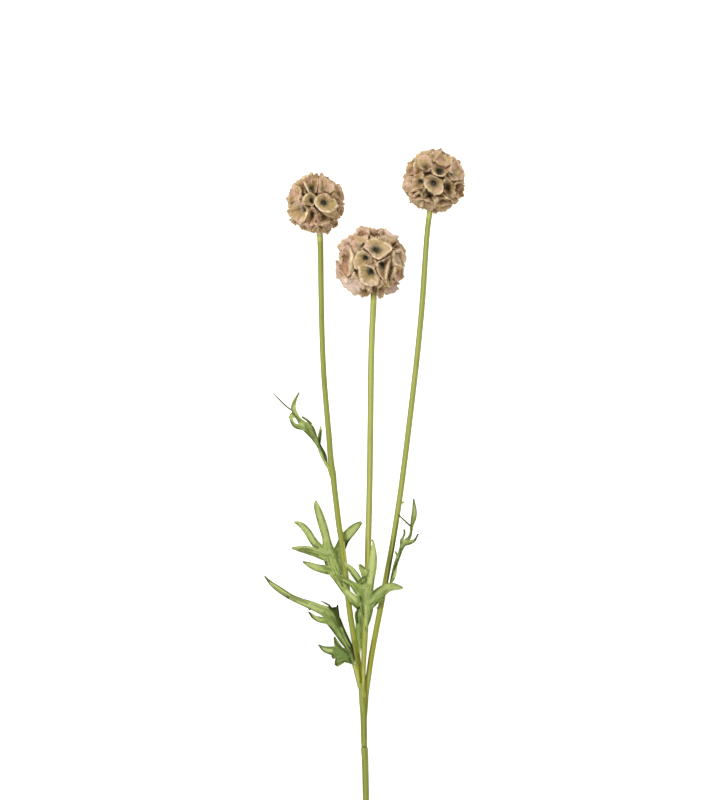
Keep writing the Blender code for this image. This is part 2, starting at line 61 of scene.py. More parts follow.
# Seed heads, as in the solids.
HEAD_RADIUS = {"head_left": 21.0, "head_middle": 25.0, "head_right": 22.3}
HEAD_CENTRE = {
    "head_left": (-35.3, 218.1, 20.0),
    "head_middle": (3.9, 176.4, 24.0),
    "head_right": (49.3, 234.6, 20.7),
}
SPOTS = 1200            # places that the rule picks from
CUP_SPACING = 25.0      # degrees between cups
CUP_REACH = 23.0        # degrees from a cup's axis to its rim, where no neighbour is near
BACK_SIZES = (0.85, 1.1)
RIM_GAP = 0.98
CORNER = 10             # how sharply a rim turns where it meets its next neighbour
# As shares of the head's radius: how far rims and throats are from its centre, a rim's lift and tilt, and a
# throat's shift to the side.
RIM_DISTANCE = 0.97
THROAT_DEPTH = 0.76
LIFTS = (-0.025, 0.03)
TILT = 0.04
SHIFT = 0.07
WAVES = ((2, 0.05), (3, 0.04), (5, 0.02))       # how many, and how deep in the rim
WAVE_SHARES = (0.4, 1.0)
DRAWN_WAVE = 0.3        # how far a drawn rim goes up and down with its waves
FREE_WAVE = 0.4         # and any other rim
SPREAD_TURNS = 12       # places round a rim that its mean spread is taken from

# The cups that each head's front shows: place right and up of the centre, as shares of the radius, and size.
FRONT_CUPS = {
    "head_left": [
        (0.34, 0.02, 1.15), (-0.24, 0.17, 0.80), (-0.19, 0.69, 1.00), (0.30, 0.62, 0.90),
        (-0.61, -0.28, 1.10), (-0.12, -0.44, 0.80), (0.22, -0.60, 0.90), (0.81, 0.41, 0.90),
        (0.86, -0.18, 0.90), (0.66, -0.55, 0.80), (-0.73, 0.41, 1.00), (-0.51, -0.76, 0.90),
    ],
    "head_middle": [
        (-0.23, 0.14, 0.95), (0.20, 0.41, 1.15), (-0.07, -0.37, 1.15), (0.32, -0.05, 0.70),
        (0.57, -0.30, 0.75), (-0.36, 0.56, 0.90), (-0.29, 0.89, 0.80), (0.44, 0.79, 1.05),
        (0.76, 0.21, 0.95), (0.86, -0.28, 0.80), (-0.60, 0.12, 1.05), (-0.83, 0.47, 0.80),
        (-0.86, -0.21, 1.00), (-0.53, -0.64, 1.00), (-0.19, -0.86, 0.80), (0.14, -0.74, 0.65),
        (0.61, -0.67, 0.85),
    ],
    "head_right": [
        (-0.02, -0.14, 1.15), (0.17, 0.32, 0.90), (-0.31, 0.52, 0.95), (0.41, -0.16, 0.85),
        (0.81, -0.20, 0.90), (-0.13, -0.55, 0.80), (-0.44, 0.02, 0.95), (-0.52, -0.45, 0.90),
        (0.34, -0.70, 1.10), (0.06, 0.80, 0.80), (0.52, 0.67, 0.90), (0.73, 0.30, 0.95),
        (-0.74, 0.45, 0.90), (-0.87, -0.10, 0.90),
    ],
}

HEAD_PALENESS = {"head_left": 0.0, "head_middle": 0.75, "head_right": 0.1}
# How dark the eye is in the drawn cups that show theirs, and in those whose eye is hidden in the photo.
OPEN_EYES = {
    "head_left": {0: 0.9, 1: 0.9, 2: 0.8, 4: 0.35},
    "head_middle": {0: 0.95, 1: 0.95, 2: 1.0, 3: 0.25},
    "head_right": {0: 1.0, 1: 1.0, 2: 0.3, 3: 0.7, 6: 0.6},
}
COVERED_EYE = 0.12
BRISTLED_EYE = 0.75     # the eyes that are darker have their bristles
# The front cups as the photo shows them. Their numbers are the eye's x and y in the photo's pixels, the
# rim's lift and its lean right and up as shares of the head's radius, the throat's distance, how pink, dark
# and pale the cup is, and the rim's x and y in turn. The first ones stand for FRONT_CUPS in the same order,
# the rest for small cups between them.
DRAWN_CUPS = {
    "head_left": """
cup 323.5 202.5 .03 0 0 .76 .1 0 .3 314.6 202 315.5 198 319 195 324 193.4 329 194.2 333 197.8 336.5 201
338.6 206 335.5 210 331 212.3 326 212.4 320.5 210.6 316.5 207
cup 312 200.8 0 0 0 .72 0 .35 .1 302.4 200 303.6 196.4 306.5 193.4 310.5 192.4 314 194.2 316.2 197 314.8 202
313 206 309 205.4 305 204
cup 312.6 189.2 .02 0 0 .66 .45 .25 0 301.4 173.8 303.3 182 305.8 187.6 308 191.4 311 192.8 314.5 192.4
317 189 318.2 184 318.6 177.4 317.2 171.6 314.4 175.6 310 175.8 306 176.8
cup 322.5 189 .02 0 0 .8 .65 0 .1 321.6 170.8 319.2 176.6 319.4 183 318.6 189.5 320.6 192.4 325 191.2
329.5 192.6 333.6 190.6 334.6 186.6 334.4 181.4 327 178.6 323.6 175.8
cup 304.2 208.6 .02 0 0 .76 .15 0 .15 291.5 206 294 202.4 298 199.8 303 201.8 306 205.6 308.6 210
307.6 214.5 305.2 218.8 303.6 222.6 299 224 294 220.4 289.6 216 287.4 211
cup 312.4 213.5 -.02 0 0 .66 .6 .4 0 308.8 209.4 311.6 206.8 314.6 208.6 316.4 212 316 218 313.6 223.6
309.6 225.6 307 222 307.8 216 308.4 212
cup 322.5 216.6 -.01 0 0 .68 .75 .2 0 319.4 213.4 322.5 214 326.4 216.8 330.4 219.8 328.6 223.6 324 226.4
319.8 225 317.2 221 316.2 216
cup 338 194 0 0 0 .86 .35 0 .1 334.8 186 338.4 184 341.4 188 343.4 192 344.2 197 343 201 339 199 336 196
333.4 193
cup 339.8 210 -.01 0 0 .7 .1 .5 0 335.8 209.4 338.8 206.4 343.8 205.6 344.6 210 342.8 214 341 216 337 213
cup 334 224.4 0 0 0 .72 .5 .4 0 330.6 224.2 334.8 220.4 338 222 337.2 226 333 228.4 330.8 227
cup 298 194 0 0 0 .76 .7 .1 0 289.8 189.6 293 187.4 298.6 186 301.2 190 301 195.6 298.8 199.6 294.6 200.6
290 203 288.6 196
cup 304.5 226.4 0 0 0 .86 .6 0 .3 299.6 224 304 223 308 225.6 311.4 229 309 231 304 230.4 301 229.4
298.8 226.4
cup 331 215.6 -.03 0 0 .86 .2 0 .2 323.6 213 328 213 334 211.6 338.4 213.6 339.4 217 336.4 220.4 331 219.2
326 216.4
cup 302 189 -.03 0 0 .7 .1 .4 0 296.4 187 300 184 303 185.6 306.4 191 303.4 193.4 300.6 190
cup 313.6 228 0 0 0 .84 .5 0 .3 308.4 226.4 312.8 224 317.6 225 318.6 229 315.8 232 311 232.6
cup 327 229.4 0 0 0 .72 0 .25 0 323 229 326 226.8 330 225 331 228 329 232 326 233.6 323.4 232
cup 293.4 222 -.02 0 0 .76 .3 .3 0 289.8 219 294 220.6 297 223.2 293.4 224 290.4 222.6
cup 340.4 203.6 -.03 0 0 .74 .7 0 .4 337 200.6 340 201 344 203 343.6 206 339.6 206.2 337.6 204
""",
    "head_middle": """
cup 366 258 0 0 0 .76 0 .05 .1 354 263.5 354.6 257 358 252.2 362 250.2 366 251 370 254.6 371.6 258.2
369 262.6 365.4 265.4 360.6 267.4 357 271 354.8 268
cup 376.6 250.4 .03 0 0 .77 0 0 .25 363.4 246.4 366 242.6 369.6 239.2 375 238 380.5 239.4 386 241.8
390 244.8 392.4 248.6 389 252.4 384 255.4 380.4 258.6 377 259.2 372.6 255.8 368.6 251.8 365.4 249
cup 371.8 271.6 .03 0 0 .74 0 0 .2 357.8 268.4 362 265.8 366.6 265 370.6 266.4 373.6 269.6 376 274 378.2 280
378.2 284.4 375.4 286.6 370.4 286.8 365 285.2 361 282.4 359.4 277.8 358.4 272.6
cup 381.6 264 0 0 0 .66 .35 .4 0 377.8 263.2 381.8 260.6 386 258.6 389.8 256 390.4 262 389 268 387.6 274
385.4 280 382 278.6 379 274.4 377 269
cup 390.5 270 0 0 0 .6 0 .5 .1 391 255.6 394 258.6 396.2 263.6 395.2 268 392.6 273 391.4 278 392.4 282
393 285 390 287.6 387 286 385.6 282 387 276 388.6 270 389.8 263
cup 359.6 245 -.01 0 0 .84 .35 0 .2 350.6 247 351.6 242 355 238.2 360 236.4 365.2 235.8 368 237.4 366.6 241
363.6 244.2 361.4 248 358 250.8 354.4 252.8 352 250.4
cup 361.6 232.6 0 0 0 .74 .45 .25 .2 355 236 356 231 359 227.8 363 226.6 368 228.8 370 232 369 235.2
365 235.4 361 236.6 358 237.4
cup 383 234 .02 0 0 .88 .6 0 .3 377.8 233.4 380.2 229.8 384.4 229 389.4 231 394 234 399.6 236.6 396 240.4
393 243.6 388.8 242.2 384 239.4 379.4 236.8
cup 396.8 254.4 .01 0 0 .86 0 0 .3 392.4 254 395 250.4 400 249 404 252 406.4 257 406 262.6 402 263.8
399.6 266.4 396.6 265 394.2 262.4 392.4 259
cup 397.6 272 -.01 0 0 .8 .5 .15 0 395.6 267.2 399.6 266.6 403.4 265.6 404.4 269 403.2 273 402.6 278 400 281
396.6 280.6 394.2 277 394 272
cup 345.4 258 .03 .03 0 .66 .85 .25 .1 348.6 245.6 351.8 250 353.4 255 351.4 260 349.2 265 348.6 270
350 274.4 347 276.4 344.4 271 342.6 266 341.2 260 340.8 254 341.8 249.6 344.6 247
cup 345 243 -.02 0 0 .76 .6 .1 .2 340.6 250 340 246 342 242 345 239.6 349 238.8 351 241 350.4 245.4 347 245
343.4 247
cup 341 271 0 0 0 .74 .6 .1 .2 336.6 260.6 334.8 266 336 272.4 338.4 278 342.4 282.6 348.6 281.6 346 276.4
343 271 341 266 339.4 262
cup 352.6 283 0 0 0 .93 .9 0 .9 350.6 277.6 356 276.8 359.6 280 361.4 284 364.6 287.4 361 288.4 359.4 292
358.6 295.4 355 296 350 293 346 288.8 342.6 283 346 280.8
cup 364.4 291.6 -.01 0 0 .76 0 .25 0 359.4 290 362 288.4 366 289 369 290.8 370.4 293.6 368 296.2 364 297
360.4 296 358.8 293.4
cup 381.2 291 -.02 0 0 .78 .4 .15 0 377.4 288.6 380 285 383.6 284.8 385 288 384.6 292.4 382.4 297 377.6 297
cup 390.6 290.6 0 0 0 .74 .6 0 .4 385.4 290 389 289.2 393 286.8 396.4 284.6 400.4 282.6 400.6 287.6
396 291.4 391.4 294.4 386.6 296.8 385 293
cup 398 245.8 0 0 0 .74 .5 .1 .1 394 247 396.4 243.4 399.4 242.4 401.4 245.6 401.4 248.6 397 248.8
cup 372.6 263 -.08 0 0 .76 .6 .1 0 368.6 264 370 260.4 374 258.6 376.8 261.6 376 266.4 373.6 268
cup 395.6 283.6 -.01 0 0 .74 .2 .1 .3 393.6 282.4 396 281.2 399.4 282 396.4 284.4 393.6 286
cup 374 233.4 -.03 0 0 .7 .5 .4 0 371 231.4 374 229.6 376.6 232 377.4 236 374 237 370.4 235.6
""",
    "head_right": """
cup 433.4 183 .03 0 0 .76 .3 0 .25 423.4 183.4 424 179 427 176 431 175.2 435 176.4 438.4 178.6 442 180.6
443.6 184 443.4 188 443 192 440.2 194.6 436 195 431.4 193.8 428 191 425 187.4
cup 439.2 171.2 .01 0 0 .72 .3 .2 .1 431.4 169.6 431.8 165 434.4 163.4 438 164.6 442 167 446.6 169.2
447.4 172 445.4 175.2 441.6 176.8 437.4 175.6 433.8 173
cup 426.4 167.4 .02 0 0 .76 .35 .1 .1 416.8 162.4 419 158 423 155.4 427.6 155.4 431 159.4 432.4 164
431 168.4 428 170.4 424 170 420 168.4 417 166
cup 446.8 186.8 0 0 0 .66 .1 .5 .1 443.6 183.6 444.6 180 447.2 178.4 450.4 180.4 453 184 454 189 453 194
450.4 197.6 447 195.6 444.6 191 443.6 187
cup 459.6 187.6 0 0 0 .66 .3 .5 0 453.6 188 455.2 184.8 458.2 182.4 462.2 182.4 463.8 187 464.2 192 464 196
460 198 456 197 453.8 193
cup 429.6 196 -.03 0 0 .64 .4 .5 0 425 194 428 191.6 431 193 434 197 434 203 431 207.4 426.6 206.4 424.4 201
cup 421.6 181.4 -.02 0 0 .72 .4 .2 0 415.6 179.6 418.6 175.6 422.4 175.4 424.4 179 423.6 184 421.6 187.6
417 188.4 414.2 184.6
cup 418.6 195.6 -.01 0 0 .82 .5 0 .2 406.4 204.6 412.6 199.4 414.6 194 418.6 192.4 423 195 424.2 201
422.4 205.6 417 204.6 413 203
cup 443.6 200.8 0 0 0 .72 .1 .1 .1 434.6 200 438 197.8 444 198.6 450 198.4 453.6 201.4 451 206 447 210
443 212.6 438 211 434.4 207
cup 434.6 157 .02 0 0 .88 .3 0 .1 429 157.4 431 152.6 436 149 442.4 147.2 441.6 153 440 157 437 160.2
433.4 161.8 430 160.4
cup 444.6 160.4 .02 0 0 .87 .6 0 .1 436 160.6 439 156.8 442.4 153.4 446 154.4 449.4 154.4 452.4 159 451 163
447 165.6 441 164.6 437.4 162.8
cup 452 174 0 0 0 .74 .8 0 .1 450.8 164 455 160 459 163 462.2 167 464 172 463.8 178 460 180 456 179.4
452 177.4 449.6 173.6 450.6 168.6
cup 411 168 .01 0 0 .72 .2 .2 .1 406.4 168 408 162 412 159.4 416.2 160 415.4 164 413.4 169 412.6 174
409 175.4 406.4 172.4
cup 411 183 .01 0 0 .88 .6 0 .2 403.4 182 406 177.4 411 176 415 178.6 413.8 184 415.4 189 411 192.2
405.8 195.4 404.6 190.4 403 187
cup 417.6 171 -.02 0 0 .72 .4 .35 0 415.6 163.4 418.4 167.4 422 171 424 175 419 176 414.4 176 412.6 171
cup 421 190 -.02 0 0 .7 .4 .3 0 415.4 189.6 418 188.2 422 187.2 425.6 189 426.2 192 422 193.6 418 191.8
cup 440.8 196.6 -.05 0 0 .68 .1 .5 0 435 195.8 439 195 443.4 194.4 447.4 197.4 444 199 438 198.4
cup 455 199 -.01 0 0 .88 .4 0 .3 451 197.6 454.4 194.6 459 198.4 456.6 202 453.4 204 452 200.4
cup 435.4 210.8 0 0 0 .74 .3 .2 0 432.6 209 436.8 209 438.4 212.4 435 213.6 432.4 212
cup 428 173 -.09 0 0 .66 .3 .5 .2 423.6 170.6 427 170.8 431 170.4 433 173.4 428 175.4 424.4 174
cup 447.8 174.4 -.06 0 0 .7 .4 .3 0 447 171 449.4 168 449 174 450.6 178 447.4 178 445 176
""",
}

# Strokes of tint on the heads' fronts, in the photo's pixels: half width, strength, then x and y in turn.
# The dark and black strokes are painted shade in the gaps between cups and under their rims; the light ones
# are painted highlights along the rims, and with the pale and some khaki strokes they paint light into
# hollows that the cups' shape shades.
HEAD_MARKS = {
    "head_middle": """
khaki 3 .6 359 291.5 368 291.5
khaki 2.4 .5 379.5 289 386 287
khaki 2 .5 379 268 383 273
pale 2.4 .5 399 250 400 261
khaki 2.4 .5 398.4 270 399 277
khaki 4 .4 383 243 388 247
pale 1.6 .8 380 230.5 386 231.5 391 234 396 238
pale 1.6 .7 356 233 360 229.5 365 229 369 231.5
pale 2 .6 349 240 344 244 341.5 250 341 257
pale 1.6 .6 338.5 262 338 268 340 274
pale 4 .7 345 280 350 285 356 289
pale 1.5 .5 366 291 371 287
pale 1.6 .5 401 250 404 257 404.5 264
pale 2 .6 389 291 394 288 399 282
rust 2.6 .8 359.5 232.5 362.5 233
pink 2 .6 364.5 230.5 367 233
dark 1 .8 370 231.5 370.6 234 371.4 234.4
dark .9 .9 369.3 236 369.6 239
dark .9 .6 366 233.6 369 234.2
pink 1.6 .7 375.2 232.5 374 236.5
black 1.3 1 376.8 234.3 378.4 234.8
dark 1.4 .45 381 238 385 239.5 388 241.5
pink 2 .6 386 232 391 235 395 237.6
khaki 1.8 .6 389.5 237 392 240.5
dark 1.2 .6 396.5 238 395 241
dark 1.8 .9 392 243 394.5 242.5 394.5 246.5
black .9 .7 393.8 243.4 394.2 247
khaki 2.2 .8 357 239 361 239 364 240.5
pink 2 .8 352.5 242 354.5 240 353 246
rust 1.6 .5 354 248 355.5 245
grey 1.3 .6 358.4 247.4 360 249
dark .8 .8 358 249 358.8 249.2
black 1.5 1 361 246.4 362.8 245 363.4 244
pink 1.5 .9 366.6 236 367 240 366.6 243
light .8 .6 367 235.4 367.4 241
light 1.2 .7 363.6 246.4 365.6 245.4
pink 1.6 .8 365.8 246.6 367.4 247.6
dark 1 .8 351.4 246 352 250 354.4 253.4
khaki 3 .7 371 242 376 240.5 381 243
dark 1.5 .4 375.6 243.6 378 244.4
light .9 .9 385 242.8 388.6 244.4 391.6 247.6 390.6 250.6 386.6 253.6 382.6 256.4 380 258.4
light .7 .7 370.4 239.4 374.4 238.6 378.4 239.8
light .8 .8 368 251 371.4 254.6 375 257.6 378.4 259.4
grey 2.6 .9 372.6 249.4 379 251 377 252
black 1.8 .9 374.6 249.4 376 250.4
dark .8 .8 381.4 250.2 382.2 250
dark 1 .7 370.6 251 373 252.4
dark 1.2 .6 378.6 252.6 380 252
rust 1.4 .4 374.6 255.6 379 256.4
black .8 1 363.8 249.4 366 250.8 367.6 251.6
dark .8 .9 367.6 251.8 370 253.8 371 255.6
dark .9 .9 375.6 259 377.6 260.4
light .8 .8 380 261.4 384 258.6 387 256
dark 1.8 .6 388 254.6 391.4 253 391 259
dark 1.2 .7 386.4 256.4 385.6 260.6 387 264
light .8 .9 355 258.4 356.4 254.6 359.4 251.8 362 251
light 2 .8 351.5 254 351.4 262 352.4 270 354 274
khaki 3.4 .7 359.5 257 359.5 264 364 263
dark .8 .4 360 256 362.4 255
grey 3.6 .6 366 257.6 366.4 258
black 1.9 .9 365.6 258 366.6 258.4
dark .8 .7 369.6 257 370 257.6
light .9 .9 366 264.8 370 266 373 268.2 375.4 271.6
light 1.1 1 358.6 266.6 359.4 270 360 275.6
light 1.1 1 359.8 276 361.4 280 363.4 283 367 285
khaki 2.8 .8 362.6 267.6 362.6 272.6 366 277
rust 1.3 .6 367.4 268 367 276
grey 2.4 .9 369.6 268.6 369.4 272.6 373.6 274
black 1.4 1 371.2 269.4 373 271.4
light 1.6 .35 375.4 275.6 376.2 280
pink 1.6 .5 366 282 371 282.6
light 1.4 .6 372 280.6 376 283
dark 1.6 .7 355.6 274.4 358 275
black 1.7 1 357 270.6 356.8 272.6
pink 1.5 .7 370.6 262 373.4 261
dark 1.2 .8 374.6 266 376.2 267.4
light .9 .9 378.6 262 376.8 266 377.6 271 379.4 276 381.4 280
grey 2.6 1 381.6 264.6 382.6 267
dark 1.6 .6 382.4 265.6 383.6 268
black 1.2 1 379.4 263.6 381.4 262.4
rust 1.2 .9 382.6 270 381.4 273.6 383.6 276.6
pink 1.4 .9 380.8 277 382.2 280.4
light 1.4 .9 381.6 281 383.6 281.6
light 1 1 388 262.6 387.4 268 386.6 273 385.6 278
dark 1.4 .9 391 262.6 389.8 268 389 271.4
dark 1 .7 388.6 272 387.8 279
black .8 .4 391.8 263 390.2 268.6
khaki 2 .8 388.4 280.6 389.6 283.4
light 1.1 1 395.4 264.6 394 270 392.2 275.4 391.8 279
khaki 1.6 .8 397.6 268 399.6 269
pink 2 .9 398 273.6 399.6 277
dark .9 .4 401.6 272 401.8 278
black .8 1 393.4 278.8 393.8 280
dark 1 .8 394.6 284 395.6 285
khaki 3 .5 396 258 400 256 401 262
dark .8 1 396.2 253.6 397 253.4
rust 1.4 .5 401.6 253 403 256
light .8 .9 394.6 262.6 397.6 265.4 400 265.6
dark .9 .6 397.6 262.8 400 262
light 1.2 .6 393.2 253.6 393.2 260
dark .9 .9 391.2 254 391.6 259.6
pink 1.4 .7 398 243.6 398.6 247
pink 2.6 1 347 247 344.4 251.4
pink 2 .9 345.4 262 346 268 347 273
khaki 2 .8 343.8 256 346.4 258.6
dark .7 .6 344 254 347 257 349.6 260
dark .8 .6 348 252 350 256
dark 1.1 .5 344.6 260 346.4 262
dark .8 .4 347.4 266 348.8 271
light 1 1 350.8 250 351.6 255 350.6 261
light 1.4 .8 350 265 350.4 270 352.4 273.6
khaki 1.6 .6 342 246 341.4 252
pink 1.4 .6 345 241 349 240.6
dark 1.1 .5 346.6 244 349 243.6
pink 1.6 .8 337.4 264 338 270
rust 1.8 .8 341.6 266 342.6 272 345.6 276
dark 1 .8 336.8 261.6 338.2 262.6
dark .8 .6 339.8 265 341.4 270
dark .9 .5 345 274 348.4 279
light 1 .4 341.4 277 345 280.6
dark 1.8 .45 351 279 354.6 277.4 358 278
pink 2.4 .8 353 286 355.4 284
light 1.8 .4 350 289 356 292.6
rust 3 .7 363 293 366 293
dark .9 .7 360.4 288.6 361.2 289.4
dark 1 .7 365.4 290 366.6 290
light 1.8 .45 363 292 367 292.6
light 1.8 .5 381 289 382.6 294
light .6 .9 362 288.4 362.6 290.6
light .8 .7 368 289.4 370 290.6
dark 2.6 1 374.6 288.4 375.4 290.6
black 1.2 .5 375.6 289.6 375.8 291.6
khaki 1.6 .7 379 287.6 380.6 289.6
dark .9 .9 380.4 291 381.4 291.6
pink 1 .9 380 293.4 382.6 292.6
pink 1.6 .5 390 285.6 394 283
light 1 .5 386 286.6 390 287.4 393.6 284.6
dark .9 .4 386.4 287.4 388 288
light 2.2 .7 383 230.5 384 235.5
light 1.4 .6 374 232.6 373.6 236
light 1.8 .4 357.6 243 360 244
light 1.6 .35 345 247.5 344 252
light 1.8 .5 343.6 253 344 258
dark 1 .5 351.6 249.6 353 252.6 354 256
dark 1 .45 355 251 358 249.6 362 251.4
dark 1.2 .35 340 272 343.6 277.6
pale 2.4 .8 352 288 358 292.4
khaki 2.6 1 371 276.5 374 280.5
rust 1.8 .45 372 277 374 280
dark 1.2 .75 370 258.8 368.6 261.6 366 263.4
light 1.4 .7 371.6 262.4 373.6 265
light 1.6 .85 379.6 276.5 381 280 382.6 282.4
light 1.6 .4 379.6 287 381.6 290
pale 2.2 .9 388 292 393 291 397 287.4
light 1.1 .5 391.8 270 391.2 276 392.8 281 392 285
light 1.4 .35 382.6 267.4 383 270
light 1.5 .6 397 244.8 397.6 247.4
pale 1.4 .8 401 245 404 249.6
light 1.8 .3 398 251 397.6 257.6
khaki 2 .6 385 250.6 381 254
dark 1 .5 380 239.4 384.6 240.6 389 242.8
light 1.5 .6 353 265 353.4 270
light 1 .5 350 273.4 350 277
""",
    "head_left": """
light .9 .8 303.6 177.5 304.4 182 306 187 308.6 191
dark 1.2 .6 302.4 184.5 304 188 306.4 191.6
rust 1.2 .7 302 181 303 185
pink 2.2 .9 308.6 178.6 310 181
khaki 2 .8 314 179 316 181 313.6 184
dark 1 .5 310.6 181.6 311 185.6
khaki 1.6 .6 306.4 182 308 186
dark 2 .5 312 186.6 315.6 187
grey 1.2 .6 308.6 187 310 187.6
black 1.7 1 311.6 189 313.6 190.4 313 191.4
black .9 .8 309 188.6 311 189
dark .9 .9 312.4 192.4 314 193
dark 1.2 .8 316.6 176.6 318.2 177.6
dark 1 .9 317.6 176 320 174
dark .7 .7 310.4 176.6 314 176 317 175.6
black 1.3 1 315.6 194.4 316.6 194.2
pink 1.6 .8 319.4 178 319 184 318.4 190
light .8 .6 319.8 179 319.4 185
khaki 2.2 .7 323 181.6 324 184.6
pink 2.6 .9 329 184 330.4 187.6
light 1 .6 332.6 183.6 333.4 187
grey 1.8 .4 322 188 323.6 189.6
dark 1 .9 321.6 191.2 324.4 191.4 327.6 192.4 330 195 331.6 197.6
black .6 .5 323 191.2 325 191.4
pink 1.2 .9 323 193.4 326 194.6 328.6 197.4
light .7 .6 323.6 193.4 326.6 195
dark 1.4 .45 335.4 186 336.6 190
rust 2 .5 337.6 187.4 339.6 190.4
khaki 2 .7 332.6 191.6 335 193.6
khaki 1.6 .7 337.6 195.6 340 193.4
dark 1.2 .8 331.4 197 332.6 197.8
dark 1 .8 334.4 195.6 335.4 198.4 338 199.4
dark .8 .5 343 193 343.4 198
pink .9 .8 340 198.6 343 199.4
khaki 2 .8 318.6 198 318 203 319.6 206.6
khaki 1.8 .8 322 196.4 326 196.4
rust 1.4 .6 324.6 197.4 328 199.6
light 1.2 1 316.6 198.6 314.8 202 315.4 204.6 318 208 320.6 210.6 324.6 212 329 211.6
grey 3.4 .6 323 202 325 203.6
black 2 .8 322.6 202.4 324.6 203.4
khaki 3 .8 331 201.6 333 205 328.6 208
khaki 1.4 .8 321.6 207 323.4 207.6
light .8 .5 334 199.8 336.4 203
dark 1 .8 337 201.4 338.6 203.6
pink 1 .9 339 200.6 342 203.6
light 1 .9 335.6 207 338.4 205.2
light 1 .9 303.6 199.6 304.2 196.6 306.6 194.6
khaki 1.8 .8 307 196.6 308 199
grey 2.2 .8 311 196.8 312.4 199
black 1.7 1 311.4 200.4 312.4 202
dark 1.2 .6 306 204 309.6 205.4
dark 1.8 .9 305.6 205.6 309 207.4
black .9 .6 306.6 205.8 308.6 206.6
black .8 1 314 205.4 317 208.6 319.4 211.6 320.8 213
dark 1.4 1 321 213.8 325 216.4 328.6 218.6 332 219.4
black 1 .8 322 214.4 325.6 216.8
khaki 2 .6 298 186.6 299.6 189.6
pink 2.4 .9 294 193.6 297.6 195.4
pink 1.6 .6 291 191.6 292 195
khaki 1.6 .6 291 198.6 294 200
dark 2 .9 290.6 203 293 201.6
dark 1 .7 297 200.6 294.8 202.4
dark 1.6 .9 303 191.6 303.4 194.6
black 1 .8 302.8 193.6 303.2 195.4
dark 1 .7 301 197.6 300.8 202
black 1 .8 305.8 190.8 307 191.8
light .8 .5 296.4 190 297.4 192
pink 2 .8 298 202 303 203.6
light 1 .7 294.6 202 298 200.8
khaki 2.4 .9 293 208 295 212.6
khaki 1.6 .8 303.6 216 304.4 219
dark .9 .6 291 211.4 292 211.8
rust 1.2 .5 296 215 300 217.6
dark 1 .4 298.6 206 299.4 211
grey 1.6 .5 303.8 208.6 304.6 211
black 1.3 1 304.4 209 305 210.6
light 1.3 .8 306.6 213 306.4 217 304.6 221
pink 2 .8 297 220.6 300.6 222
light 1 .6 300.6 220 303 218
dark .9 .8 302.6 223.6 305 221.4
dark .8 .4 288.6 212 290 216
pink 1.2 1 310 208.6 312.6 207.4 315 209
rust 1.4 .9 312.6 209.6 312 211.6
dark 1.6 1 311.6 212.6 312.6 216.6 311.6 219.6
black .8 .4 312 213.6 312.6 216
black .8 .8 313.6 213 314.8 213.2
rust 1.4 .8 309.4 217 309.4 222.6
khaki 1.2 .7 308.6 213 308.2 219
pink 2 .9 314 220.6 312.6 225 310.6 226
pink 1.4 .9 317.4 215 316.8 220
rust 1 1 318.6 213.6 318.8 217 319 221
pink 1.4 .8 318.4 222.6 318 219
pink 1.8 1 322 224.4 326 224.8
dark 1.4 .4 322.6 219 326.6 221
khaki 1.2 .7 331.6 220.6 333.6 221.6
dark 1.4 .7 334.6 222.4 336 224.6
dark 1.2 .7 330.4 223.6 329.8 226.6
pink 1 .8 332 225 332.4 227
khaki 1.8 .9 327 227.6 326.6 230.6
dark .8 .6 330.2 229 330.6 231
khaki 1.6 .7 327 213.4 331 213.8
rust .9 .6 333.6 213 335 214.6
light .7 .6 325.6 214.6 330 216.4 334 217.4
khaki 1.2 .6 334.6 216 337.6 217.6
dark .9 .6 331.6 218.6 335.6 218.4
dark 2.2 .6 338.6 208 340.4 211.6
pink 1 .7 342 206.6 343 210
dark 1 .8 340.6 214.4 342.2 214.6
pink 2 .9 308.6 225.6 312 228.4
light 1.3 .8 316.6 225 316.6 229
light 1 .6 302.6 226 304 228
dark .8 .5 302 229.6 306 230.6
dark .8 .4 312 232.4 315.6 231.6
khaki 1 .6 305.6 228.4 308 230
pale 2.2 .9 294 184 299 180.6
dark 1.6 .55 289.8 188 290.8 193 291.2 197
dark 2 .7 291.6 198.6 290 202 288.8 206.4
light 1.4 .5 300.6 206 302 208.6
rust 2.4 .45 296.4 211.6 300.4 217.6
dark 1 .4 288.6 211 290 216 292.6 220
light 1.2 .4 294 222 297 222.6
light 1.4 .4 303 226 307 227.6
light 1.5 .8 315.6 227 316.6 229.4
light 1.3 .4 312.6 225.6 314 227.6
dark 1.7 .65 309.4 221.4 312.4 221.4
light 1.2 .4 321.6 185.4 322.4 188.4
dark 1.6 .35 328 187 328.4 190.6
dark 1.2 .4 331.6 181.6 335 184.6
light 1.6 .4 339 186.6 340 190
dark 1.1 .7 334.4 191.4 338 193.6 340 197.6 342.4 199.4
light 1.4 .5 338 203.4 341 203.6
light 1.3 .6 341.6 209.6 342.4 212.6
light 1.6 .3 329 214.6 333 215.2 336 212
light 1.4 .35 321 217.6 323 219
light 1.8 .35 325 225 325 229.6
dark 1 .4 331 226.6 331 229
black 1.3 .9 309.6 190.6 313.6 191.4
dark 1.9 .6 314.6 181 315.4 186
dark 1.4 .5 309.6 179.6 310.4 183
dark 1.3 .7 315.4 175 318.4 174.4 322 173.4
""",
